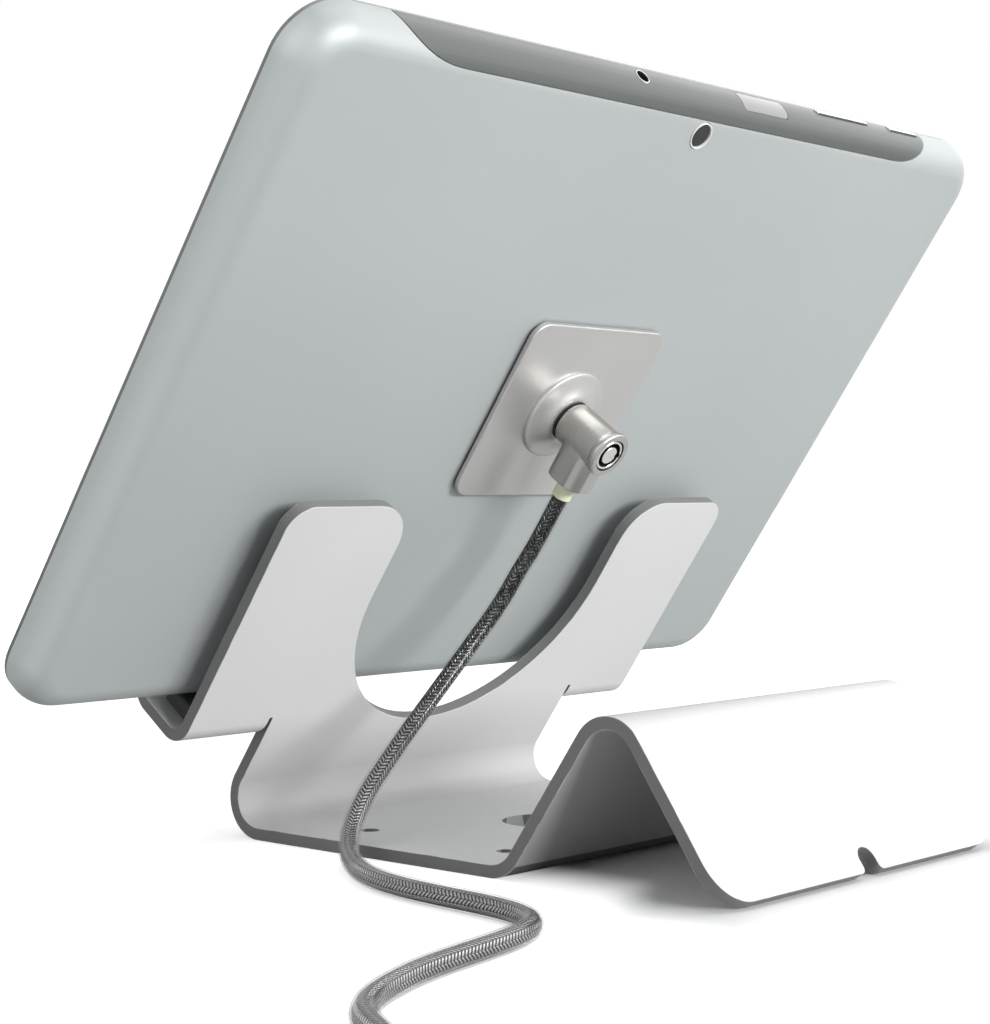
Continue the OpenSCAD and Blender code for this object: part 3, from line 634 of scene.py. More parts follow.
def finish(name, colour_values, rough, metallic=0.0, grain=3000.0, depth=0.1, smudge=25.0, spread=0.05,
           rubbed=1.15, coat=0.0, cut_edge_shade=1.0, rim_highlight=1.0, specular=0.5):
    """A surface with fine grain, broad smudges, rubbed edges, cut edges darkened with painted shade and a rim
    lightened with a painted highlight.
    """
    found = bpy.data.materials.get(name)
    if found:
        return found
    material, tree, shader = new_material(name)
    place = object_place(tree)
    surface = use_group(tree, surface_group(), Vector=place, Grain_scale=grain, Smudge_scale=smudge)
    tone = mix_colours(tree, surface["Smudge"], rgba(colour_values, SMUDGE_DARK),
                       rgba(colour_values, SMUDGE_PALE))
    # Painted shade: faces marked as cut edges are darkened.
    if cut_edge_shade != 1.0:
        tone = mix_colours(tree, attribute(tree, "cut"), tone, rgba(colour_values, cut_edge_shade))
    # Painted highlight: a band along both side rims is lightened.
    if rim_highlight != 1.0:
        side = distance_along(tree, place, ACROSS)
        rim = remap(tree, side, 0.0, 1.0, HALF_W - RIM_IN, HALF_W - RIM_OUT)
        tone = mix_colours(tree, rim, tone, rgba(colour_values, rim_highlight))
    edge = use_group(tree, edge_group(), Colour=tone, Rubbed=rgba(colour_values, rubbed), Vector=place)
    wire(tree, edge["Colour"], shader.inputs["Base Color"])
    wire(tree, remap(tree, surface["Smudge"], rough - spread, rough + spread), shader.inputs["Roughness"])
    shader.inputs["Metallic"].default_value = metallic
    shader.inputs["Specular IOR Level"].default_value = specular
    shader.inputs["Coat Weight"].default_value = coat
    shader.inputs["Coat Roughness"].default_value = COAT_ROUGH
    bump(tree, shader, surface["Grain"], depth, GRAIN_HEIGHT)
    return material


def white_trim(tablet):
    """Glossy white plastic of the small trim."""
    return finish("white_trim", tablet.trim, 0.25, grain=4000, depth=0.05, coat=0.3, rubbed=1.05)


def screen_finish():
    """Black front glass with a slightly lighter picture area behind it."""
    material, tree, shader = new_material("screen_glass")
    place = object_place(tree)
    border, picture = (0.006, 0.006, 0.007), (0.018, 0.020, 0.024)
    from_middle = vector_node(tree, "SUBTRACT", place, TABLET_AT + UP * TABLET_H / 2)
    inside = 1.0
    for way, half in ((ACROSS, SCREEN_HALF_W), (UP, SCREEN_HALF_H)):
        apart = distance_along(tree, from_middle, way)
        inside = math_node(tree, "MULTIPLY", inside, remap(tree, apart, 1.0, 0.0, half, half + SCREEN_FADE))
    wire(tree, mix_colours(tree, inside, rgba(border), rgba(picture)), shader.inputs["Base Color"])
    surface = use_group(tree, surface_group(), Vector=place, Grain_scale=400.0, Smudge_scale=18.0)
    wire(tree, remap(tree, surface["Smudge"], 0.03, 0.12), shader.inputs["Roughness"])
    shader.inputs["Coat Weight"].default_value = 0.5
    return material


def braid_finish(cable):
    """Steel wire braid that follows the cable, with painted shade where it hangs and between its strands."""
    material, tree, shader = new_material("steel_braid")
    around = tree.nodes.new("ShaderNodeUVMap").outputs[0]
    braid = use_group(tree, braid_group(), UV=around, Columns=float(cable.braid_columns),
                      Pitch=cable.braid_pitch)
    place = object_place(tree)
    surface = use_group(tree, surface_group(), Vector=place, Grain_scale=5000.0, Smudge_scale=60.0)
    on_table, in_air = 6 * MM, 45 * MM
    fleck_scale, fleck_detail = 700.0, 2.0
    stain_share, fleck_share = 0.3, 0.8
    fleck_gain, gap_shade_gain = 0.08, 0.04
    # Painted shade: the braid darkens from the table up to where it hangs, and dark flecks fall only there.
    hung_shade_and_stain = remap(tree, split(tree, place)[2], 0.0, 1.0, on_table, in_air)
    steel = mix_colours(tree, hung_shade_and_stain, rgba(cable.steel), rgba(cable.hung_shade_and_stain))
    stain = math_node(tree, "MULTIPLY", surface["Smudge"], stain_share)
    steel = mix_colours(tree, stain, steel, rgba(cable.hung_shade_and_stain))
    flecks = remap(tree, noise(tree, place, fleck_scale, fleck_detail), 0.0, fleck_share, 0.42, 0.6)
    dark = math_node(tree, "MULTIPLY", flecks, hung_shade_and_stain)
    steel = mix_colours(tree, dark, steel, rgba(cable.hung_shade_and_stain, fleck_gain))
    # Painted shade in the gaps between the strands.
    steel = mix_colours(tree, braid["Gap"], steel, rgba(cable.steel, gap_shade_gain))
    wire(tree, steel, shader.inputs["Base Color"])
    wire(tree, remap(tree, surface["Grain"], 0.18, 0.32), shader.inputs["Roughness"])
    shader.inputs["Metallic"].default_value = 1.0
    shader.inputs["Coat Weight"].default_value = 0.35
    shader.inputs["Coat Roughness"].default_value = 0.1
    bump(tree, shader, braid["Height"], 1.0, STRAND_HEIGHT)
    return material


def jacket_finish(cable):
    """Clear, slightly scuffed vinyl over the braid, denser where it is seen edge on."""
    material, tree, shader = new_material("clear_jacket")
    place = object_place(tree)
    surface = use_group(tree, surface_group(), Vector=place, Grain_scale=900.0, Smudge_scale=120.0)
    wire(tree, mix_colours(tree, surface["Smudge"], rgba(cable.jacket, 0.95), rgba(cable.jacket, 1.05)),
         shader.inputs["Base Color"])
    wire(tree, remap(tree, surface["Smudge"], 0.10, 0.20), shader.inputs["Roughness"])
    clear, dense, turned = 0.03, 0.42, 0.55
    facing = tree.nodes.new("ShaderNodeLayerWeight").outputs["Facing"]
    wire(tree, remap(tree, facing, clear, dense, turned, 1.0), shader.inputs["Alpha"])
    shader.inputs["Coat Weight"].default_value = 1.0
    shader.inputs["Coat Roughness"].default_value = 0.05
    return material


def strap_finish():
    """Woven hook-and-loop strap."""
    material, tree, shader = new_material("strap_weave")
    place = object_place(tree)
    thread, fuzz_scale, fuzz_detail = 0.9 * MM, 2600.0, 4.0
    dark, pale = (0.012, 0.012, 0.013), (0.05, 0.05, 0.053)
    waves = [2 * math.pi / thread] * 3
    x, y, z = split(tree, vector_node(tree, "MULTIPLY", place, waves))
    warp = math_node(tree, "SINE", x)
    weft = math_node(tree, "SINE", math_node(tree, "ADD", y, z))
    threads = math_node(tree, "MULTIPLY", warp, weft)
    fuzz = noise(tree, place, fuzz_scale, fuzz_detail)
    wire(tree, mix_colours(tree, fuzz, rgba(dark), rgba(pale)), shader.inputs["Base Color"])
    wire(tree, remap(tree, fuzz, 0.75, 0.95), shader.inputs["Roughness"])
    shader.inputs["Sheen Weight"].default_value = 0.3
    bump(tree, shader, math_node(tree, "ADD", threads, fuzz), 0.6, THREAD_HEIGHT)
    return material


# Cable route, the same points as the frame's solids follow

ROUTE = [Vector(point) for point in (
    (0.0025, -0.025, 0.0655), (0.0055, -0.029, 0.057), (0.013, -0.0325, 0.0465), (0.025, -0.034, 0.0345),
    (0.038, -0.0335, 0.0235), (0.05, -0.0315, 0.014), (0.059, -0.0275, 0.007), (0.066, -0.021, 0.0033),
    (0.072, -0.0135, 0.0025), (0.078, -0.005, 0.0025), (0.083, 0.005, 0.0025), (0.086, 0.016, 0.0025),
    (0.0875, 0.028, 0.0025), (0.0885, 0.04, 0.0025), (0.09, 0.049, 0.0025), (0.093, 0.0565, 0.0025),
    (0.098, 0.062, 0.0025), (0.105, 0.0655, 0.0025), (0.113, 0.0675, 0.0025), (0.122, 0.069, 0.0025),
    (0.131, 0.0705, 0.0025), (0.14, 0.0725, 0.0025), (0.149, 0.0755, 0.0025), (0.157, 0.079, 0.0025),
    (0.164, 0.0835, 0.0025), (0.1695, 0.089, 0.0025), (0.175, 0.098, 0.0025), (0.182, 0.111, 0.0027),
    (0.189, 0.125, 0.003), (0.195, 0.137, 0.0034))]
CABLE_D = 5 * MM
CABLE_START = LOCK_AT - OUT * ARM_AXIS - UP * (ARM_REACH + SLEEVE_OUT)
COIL_MID = Vector((0.235, 0.150, 0.0034))
COIL_OUT = 38.5 * MM
COIL_STEP = 6.3 * MM
COIL_RISE = 5.8 * MM
COIL_TURNS = 3.5
COIL_DEGREES = 5
CLIMB_DEGREES = 180
LEAD_IN = Vector((0, 5 * MM, 0))
LEAD_END = COIL_MID - Vector((COIL_OUT, 0, 0)) - LEAD_IN
TAIL = 46 * MM
CRIMP_Z = 3.2 * MM
CRIMP_LEN = 14 * MM
CRIMP_HALF_W = 6 * MM
STRAND_GAP = 5.6 * MM
EYE_SIDE = ((2.8, 5), (6, 13), (11, 22), (12, 32), (7.5, 40))
EYE_LEN = 43 * MM
TAIL_STEPS = 10
SPLINE_STEPS = 6
TAIL_END = Vector((COIL_MID.x + COIL_OUT, COIL_MID.y - TAIL, CRIMP_Z))


def spline(points, steps):
    """Points of a smooth curve through the given points."""
    last = len(points) - 1
    path = []
    for i in range(last):
        p, q, r, s = (points[max(0, min(last, i + k))] for k in (-1, 0, 1, 2))
        for j in range(steps):
            t = j / steps
            path.append(0.5 * (2 * q + (r - p) * t + (2 * p - 5 * q + 4 * r - s) * t ** 2
                               + (3 * q - p - 3 * r + s) * t ** 3))
    return path + [points[last]]


def lead_path():
    """Centre line from the sleeve down to the table and along to the coil."""
    straight = [CABLE_START - UP * CABLE_D, CABLE_START - UP * 3 * CABLE_D]
    return [CABLE_START] + spline(straight + ROUTE + [LEAD_END - LEAD_IN], SPLINE_STEPS)


def coil_path():
    """Centre line of the coil: in along the table, up one layer and out again, then down to the crimp."""
    inward = 360 * COIL_TURNS
    path = [LEAD_END]
    for step in range(0, int(2 * inward + CLIMB_DEGREES) + 1, COIL_DEGREES):
        outward = max(0.0, step - inward - CLIMB_DEGREES)
        radius = COIL_OUT - COIL_STEP * min(step, inward) / 360 + COIL_STEP * outward / 360
        climb = min(1.0, max(0.0, (step - inward) / CLIMB_DEGREES))
        angle = math.radians(180 - step)
        spoke = Vector((radius * math.cos(angle), radius * math.sin(angle), COIL_RISE * climb))
        path.append(COIL_MID + spoke)
    drop = COIL_MID.z + COIL_RISE - CRIMP_Z
    for i in range(1, TAIL_STEPS + 1):
        fall = (1 + math.cos(math.pi * i / TAIL_STEPS)) / 2
        y = COIL_MID.y - i * (TAIL - CABLE_D) / TAIL_STEPS
        path.append(Vector((TAIL_END.x, y, CRIMP_Z + drop * fall)))
    return path + [TAIL_END]


def eye_path():
    """Centre line of the loop past the crimp, out and back."""
    mid = TAIL_END.x + STRAND_GAP / 2
    y = TAIL_END.y - CRIMP_LEN
    side = [Vector((mid - out * MM, y - along * MM, CRIMP_Z)) for out, along in EYE_SIDE]
    other = [Vector((2 * mid - p.x, p.y, p.z)) for p in reversed(side)]
    loop = spline(side + [Vector((mid, y - EYE_LEN, CRIMP_Z))] + other, SPLINE_STEPS)
    return [Vector((TAIL_END.x, y, CRIMP_Z))] + loop + [Vector((TAIL_END.x + STRAND_GAP, y, CRIMP_Z))]


def path_length(path):
    """Length of a path of points."""
    return sum((b - a).length for a, b in zip(path, path[1:]))


def tube(name, path, radius, sides=16):
    """A closed tube along a path, with turns round it and metres along it as its UV map."""
    ways = [(path[min(i + 1, len(path) - 1)] - path[max(i - 1, 0)]).normalized() for i in range(len(path))]
    side = ways[0].orthogonal().normalized()
    points, along, run = [], [], 0.0
    for i, (place, way) in enumerate(zip(path, ways)):
        if i:
            side = (ways[i - 1].rotation_difference(way) @ side).normalized()
            run += (place - path[i - 1]).length
        across = way.cross(side)
        along.append(run)
        for k in range(sides):
            turn = 2 * math.pi * k / sides
            points.append(place + radius * (math.cos(turn) * side + math.sin(turn) * across))
    walls = []
    for start in range(0, (len(path) - 1) * sides, sides):
        for k in range(sides):
            a, b = start + k, start + (k + 1) % sides
            walls.append((a, b, b + sides, a + sides))
    caps = [tuple(range(sides - 1, -1, -1)), tuple(range((len(path) - 1) * sides, len(path) * sides))]
    mesh = bpy.data.meshes.new(name)
    mesh.from_pydata(points, [], walls + caps)
    uv = mesh.uv_layers.new(name="UVMap")
    for face in mesh.polygons[:len(walls)]:
        i, k = divmod(face.index, sides)
        corners = ((k, i), (k + 1, i), (k + 1, i + 1), (k, i + 1))
        for loop, (turn, ring) in zip(face.loop_indices, corners):
            uv.data[loop].uv = (turn / sides, along[ring])
    piece = bpy.data.objects.new(name, mesh)
    bpy.context.scene.collection.objects.link(piece)
    select_only(piece)
    bpy.ops.object.shade_smooth_by_angle(angle=math.radians(50))
    return piece


# Operators, one for each piece or group of like pieces

class KIOSK_OT_sheet(bpy.types.Operator):
    """Bent sheet with its arms and hooks, its cut edges rounded"""
    bl_idname = "kiosk.sheet"
    bl_label = "Bent sheet"

    def execute(self, context):
        stand = context.scene.kiosk_stand
        sheet = softened_copy("stand_sheet", "bent_sheet", stand.edge_round, 3)
        self.mark_shaded_edges(sheet)
        paint(sheet, finish("satin_sheet", stand.sheet, stand.sheet_rough, metallic=0.06, grain=2400,
                            depth=0.1, smudge=14, spread=0.03, rubbed=1.06, cut_edge_shade=stand.cut_edge_shade,
                            specular=0.2))
        seat(sheet, "stand", "sheet", "stand_sheet")
        return {"FINISHED"}

    def mark_shaded_edges(self, sheet):
        """Marks the faces where the flat sheet was cut through, which painted shade darkens."""
        arms_behind, arms_from = -8.5 * MM, -4.5 * MM
        cutout_low, hooks_top, cutout_half = -8 * MM, 2 * MM, 51 * MM
        rear_high = 8 * MM
        edge_on, sideways, downward, rearward = 0.2, 0.3, -0.7, 0.4
        shaded_cuts = sheet.data.attributes.new("cut", "FLOAT", "FACE")
        for face in sheet.data.polygons:
            way = face.normal
            up = (face.center - TABLET_AT).dot(UP)
            out = (face.center - TABLET_AT).dot(OUT)
            in_arms = arms_behind < out < arms_from and abs(way.dot(OUT)) < edge_on
            in_cutout = up > cutout_low and abs(face.center.x) < cutout_half
            top_edge = in_arms and (up > hooks_top or in_cutout)
            rear_edge = face.center.z < rear_high and way.z < downward and way.y > rearward
            side_edge = abs(way.x) > sideways
            shaded_cuts.data[face.index].value = float(side_edge or top_edge or rear_edge)


class KIOSK_OT_pads(bpy.types.Operator):
    """Rubber pads on the arms and liners in the hooks"""
    bl_idname = "kiosk.pads"
    bl_label = "Pads and liners"

    def execute(self, context):
        stand = context.scene.kiosk_stand
        rubber = finish("soft_rubber", stand.rubber, 0.7, grain=1500, depth=0.5, smudge=60, spread=0.1,
                        rubbed=1.6)
        for node, corner in (("arm_pads", PAD_CORNER), ("hook_liners", LINER_CORNER)):
            for side in (-1, 1):
                self.pad(node, side, corner, rubber)
        return {"FINISHED"}

    def pad(self, node, side, corner, rubber):
        """One pad or liner, taken from the box of its solid on one side."""
        inverse = TABLET.inverted()
        points = [inverse @ v.co for v in frame["nodes"][node].data.vertices if v.co.x * side > 0]
        low = [min(p[i] for p in points) for i in range(3)]
        high = [max(p[i] for p in points) for i in range(3)]
        name = f"{node[:-1]}_{'right' if side > 0 else 'left'}"
        piece = rounded_block(name, low, high, 2, corner, 6)
        round_edges(piece, RUBBER_EDGE, 3)
        smooth(piece)
        paint(put(piece, TABLET), rubber)
        seat(piece, "stand", "rubber", node)


class KIOSK_OT_shell(bpy.types.Operator):
    """Tablet's rear cover, dark top band and card cover"""
    bl_idname = "kiosk.shell"
    bl_label = "Tablet shell"

    def execute(self, context):
        tablet = context.scene.kiosk_tablet
        cover = self.shell("back_cover", tablet)
        band = self.shell("dark_band", tablet)
        combine(cover, "DIFFERENCE", self.band_tool(tablet, BAND_SEAM), self.lens_tool(), self.dock_tool())
        combine(band, "INTERSECT", self.band_tool(tablet, 0.0))
        combine(band, "DIFFERENCE", *self.band_holes(tablet))
        card = self.shell("card_flap_cover", tablet)
        combine(card, "INTERSECT", self.card_tool(tablet, 0.0))
        for piece in (cover, band, card):
            round_edges(piece, SHELL_EDGE, 2, 50)
            smooth(piece, 30)
            put(piece, TABLET)
        paint(cover, finish("silver_back", tablet.back, 0.54, metallic=0.3, grain=6000, depth=0.05,
                            smudge=9, spread=0.03, rubbed=1.05, rim_highlight=tablet.rim_highlight, specular=0.4))
        paint(band, finish("grey_band", tablet.band, 0.44, metallic=0.3, grain=5000, depth=0.08, smudge=12,
                           spread=0.04, rubbed=1.1, coat=0.1))
        paint(card, finish("card_paint", tablet.card, 0.3, grain=4000, depth=0.05, coat=0.2, rubbed=1.5))
        seat(cover, "tablet", "cover", "rear_cover")
        seat(band, "tablet", "band", "top_band")
        seat(card, "flap", "pale", "card_cover")
        return {"FINISHED"}

    def shell(self, name, tablet):
        """Open shell with rounded corners and a broadly rounded back edge."""
        front = TABLET_T - FRAME_T
        radius, steps = tablet.back_round, 12
        piece = rounded_block(name, (-HALF_W, 0, radius), (HALF_W, TABLET_H, front), 2, tablet.corner, 16)
        with editing(piece, "FACE"):
            choose(piece, "polygons", lambda face: face.normal.z < -FACING)
            for i in range(steps):
                a, b = (math.pi / 2 * k / steps for k in (i, i + 1))
                bpy.ops.mesh.inset(thickness=radius * (math.cos(a) - math.cos(b)),
                                   depth=radius * (math.sin(b) - math.sin(a)))
            choose(piece, "polygons", lambda face: face.normal.z > FACING)
            bpy.ops.mesh.delete(type="FACE")
        apply(piece, "SOLIDIFY", thickness=tablet.wall, offset=-1, use_even_offset=True)
        return piece

    def band_tool(self, tablet, grow):
        """Prism over the dark band, with its lower line rising at both ends."""
        low = TABLET_H - tablet.band_h - grow
        steps = 24
        shares = [i / steps for i in range(steps + 1)]
        rise = [(t, (tablet.band_h + TOOL_PAST) * t ** BAND_CURVE) for t in shares]
        right = [(HALF_W - BAND_RIGHT + grow + BAND_RIGHT_RUN * t, low + h) for t, h in rise]
        left = [(BAND_LEFT - HALF_W - grow - BAND_LEFT_RUN * t, low + h) for t, h in rise]
        outline = [Vector((x, v, -TOOL_PAST)) for x, v in right + left[::-1]]
        through = TABLET_T + 2 * TOOL_PAST
        mesh = bpy.data.meshes.new("band_tool")
        mesh.from_pydata(outline, [], [tuple(range(len(outline)))])
        tool = bpy.data.objects.new("band_tool", mesh)
        bpy.context.scene.collection.objects.link(tool)
        with editing(tool, "FACE"):
            bpy.ops.mesh.select_all(action="SELECT")
            bpy.ops.mesh.extrude_region_move(TRANSFORM_OT_translate={"value": (0, 0, through)})
            bpy.ops.mesh.select_all(action="SELECT")
            bpy.ops.mesh.normals_make_consistent(inside=False)
        return tool

    def lens_tool(self):
        """Hole for the rear lens and its ring."""
        tool = lathe("lens_tool", [(LENS_HOLE, -TOOL_PAST), (LENS_HOLE, LENS_DEEP)])
        return put(tool, LENS_AT)

    def dock_tool(self):
        """Slot for the dock socket in the lower edge."""
        low, high = DOCK_N
        return block("dock_tool", (-DOCK_HALF, -TOOL_PAST, low), (DOCK_HALF, DOCK_DEEP, high))

    def card_tool(self, tablet, grow):
        """Prism over the card cover, with rounded corners."""
        low = (CARD_ENDS[0] - HALF_W - grow, TABLET_H - CARD_DEEP, CARD_N[0] - grow)
        high = (CARD_ENDS[1] - HALF_W + grow, TABLET_H + TOOL_PAST, CARD_N[1] + grow)
        return rounded_block("card_tool", low, high, 1, tablet.card_corner + grow, 8)

    def band_holes(self, tablet):
        """Openings for the card cover, the two keys and the headphone socket."""
        low, top = TABLET_H - KEY_DEEP, TABLET_H + TOOL_PAST
        tools = [self.card_tool(tablet, CARD_SEAM)]
        for name, (start, end) in (("rocker_tool", ROCKER_ENDS), ("power_tool", POWER_ENDS)):
            tools.append(block(name, (start - HALF_W, low, KEY_N[0]), (end - HALF_W, top, KEY_N[1])))
        jack = lathe("jack_tool", [(JACK_HOLE, -JACK_DEEP), (JACK_HOLE, 3 * TOOL_PAST)], 32)
        return tools + [put(jack, JACK)]


class KIOSK_OT_front(bpy.types.Operator):
    """Front frame, glass and speaker slots"""
    bl_idname = "kiosk.front"
    bl_label = "Tablet front"

    def execute(self, context):
        frame_line = softened_copy("front_bezel", "front_frame", FRAME_EDGE, 2)
        paint(frame_line, finish("frame_paint", (0.22, 0.23, 0.232), 0.35, metallic=0.3, grain=5000,
                                 depth=0.05))
        seat(frame_line, "tablet", "bezel", "front_bezel")
        dress(screen_finish(), "front_glass")
        dress(finish("speaker_cloth", (0.02, 0.021, 0.022), 0.8, grain=9000, depth=0.8), "speaker_meshes")
        return {"FINISHED"}


class KIOSK_OT_trim(bpy.types.Operator):
    """Lens, keys and sockets"""
    bl_idname = "kiosk.trim"
    bl_label = "Tablet trim"

    def execute(self, context):
        tablet = context.scene.kiosk_tablet
        white = white_trim(tablet)
        self.rear_lens(white)
        self.key_caps(tablet)
        self.sockets(white)
        return {"FINISHED"}

    def rear_lens(self, white):
        """Lens window and its white ring."""
        ring = lathe("lens_rim", in_mm((2.9, 1.2), (3.4, 1.2), (3.45, -0.1), (3.38, -0.26), (3.25, -0.3),
                                       (3.12, -0.26), (3.05, -0.1)))
        self.open_middle(ring)
        smooth(ring)
        seat(paint(put(ring, TABLET @ LENS_AT), white), "tablet", "pale", "lens_ring")
        lens = lathe("lens_window", in_mm((2.8, 1.3), (2.85, 0.3), (2.8, 0.12), (2.2, 0.06), (1.2, 0.03),
                                          (0.3, 0.02)))
        smooth(lens)
        glass = finish("lens_glass", (0.012, 0.013, 0.013), 0.45, grain=900, depth=0.02)
        seat(paint(put(lens, TABLET @ LENS_AT), glass), "tablet", "glass", "rear_lens")

    def key_caps(self, tablet):
        """Two keys, white, with painted shade on their sides that face the back."""
        backward = -0.75
        key_side = finish("key_side", tablet.band, 0.5, grain=3000, depth=0.1)
        key_paint = finish("key_paint", tablet.trim, 0.3, metallic=0.3, grain=5000, depth=0.06, rubbed=1.1)
        for node, body in (("power_button", "power"), ("volume_rocker", "volume")):
            key = paint(softened_copy(node, f"{node}_cap", KEY_EDGE, 3), key_paint)
            key.data.materials.append(key_side)
            # Painted shade on the key faces turned towards the back.
            for face in key.data.polygons:
                face.material_index = int(face.normal.dot(OUT) < backward)
            seat(key, body, "band", node)

    def sockets(self, white):
        """Black sockets, and the headphone socket's white rim and dark well."""
        socket = finish("socket_black", (0.012, 0.012, 0.013), 0.5, grain=3000, depth=0.1)
        dress(socket, "jack_socket", "dock_socket")
        deep, soft = 3.0, 0.06
        for name, radius, wall, top, material, slot in (("jack_rim", 2.0, 0.25, 0.06, white, "pale"),
                                                        ("jack_well", 1.74, 0.1, 0.0, socket, "inner")):
            inner, crest = radius - wall, radius - wall / 2
            ring = lathe(name, in_mm((inner, -deep), (radius, -deep), (radius, top - soft), (crest, top),
                                     (inner, top - soft)), 32)
            self.open_middle(ring)
            smooth(ring)
            seat(paint(put(ring, TABLET @ JACK), material), "tablet", slot)

    def open_middle(self, ring):
        """Joins the two ends of a turned ring and takes out its middle."""
        with editing(ring, "FACE"):
            choose(ring, "polygons", lambda face: len(face.vertices) > 8)
            bpy.ops.mesh.bridge_edge_loops()
        with editing(ring, "FACE"):
            bpy.ops.mesh.select_all(action="SELECT")
            bpy.ops.mesh.normals_make_consistent(inside=False)


class KIOSK_OT_inside(bpy.types.Operator):
    """Finishes of the pieces inside the tablet and the lock"""
    bl_idname = "kiosk.inside"
    bl_label = "Inner pieces"

    def execute(self, context):
        black = finish("inner_black", (0.02, 0.021, 0.023), 0.55, grain=2500, depth=0.1)
        dress(black, "display_panel", "battery", "rear_camera", "front_camera", "speaker_units")
        green = finish("board_green", (0.02, 0.09, 0.045), 0.4, grain=700, depth=0.3, smudge=200)
        dress(green, "main_board")
        steel = finish("plated_steel", (0.5, 0.5, 0.5), 0.3, metallic=1.0, grain=4000, depth=0.1)
        dress(steel, "board_screws", "keeper_pin", "cable_ferrule", "t_bar")
        brass = finish("pin_brass", (0.55, 0.38, 0.12), 0.3, metallic=1.0, grain=4000, depth=0.1)
        dress(brass, "tumbler_pins")
        return {"FINISHED"}


class KIOSK_OT_plate(bpy.types.Operator):
    """Bonded plate and its boss"""
    bl_idname = "kiosk.plate"
    bl_label = "Plate and boss"

    def execute(self, context):
        lock = context.scene.kiosk_lock
        half = lock.plate_w / 2
        low, high = PLATE_N
        metal = finish("satin_plate", lock.plate, 0.34, metallic=0.7, grain=3500, depth=0.1, smudge=30,
                       spread=0.03, rubbed=1.15)
        plate = rounded_block("bonded_plate", (-half, -half, low), (half, half, high), 2,
                              lock.plate_corner, 10)
        round_edges(plate, PLATE_EDGE, 3)
        smooth(plate)
        seat(paint(put(plate, LOCK), metal), "tablet", "plate", "security_plate")
        dome = spline([Vector(ring) for ring in in_mm(*BOSS_DOME)], 4)
        boss = lathe("domed_boss", [(BOSS_R, high), *dome, (BOSS_HOLE, BOSS_TOP)], 96)
        smooth(boss, 50)
        seat(paint(put(boss, LOCK), metal), "tablet", "plate", "lock_boss")
        foam = finish("bond_foam", (0.03, 0.03, 0.032), 0.8, grain=1800, depth=0.4)
        dress(foam, "bond_pad")
        dress(finish("washer_black", (0.008, 0.008, 0.008), 0.5, grain=2500, depth=0.2), "lock_washer")
        return {"FINISHED"}


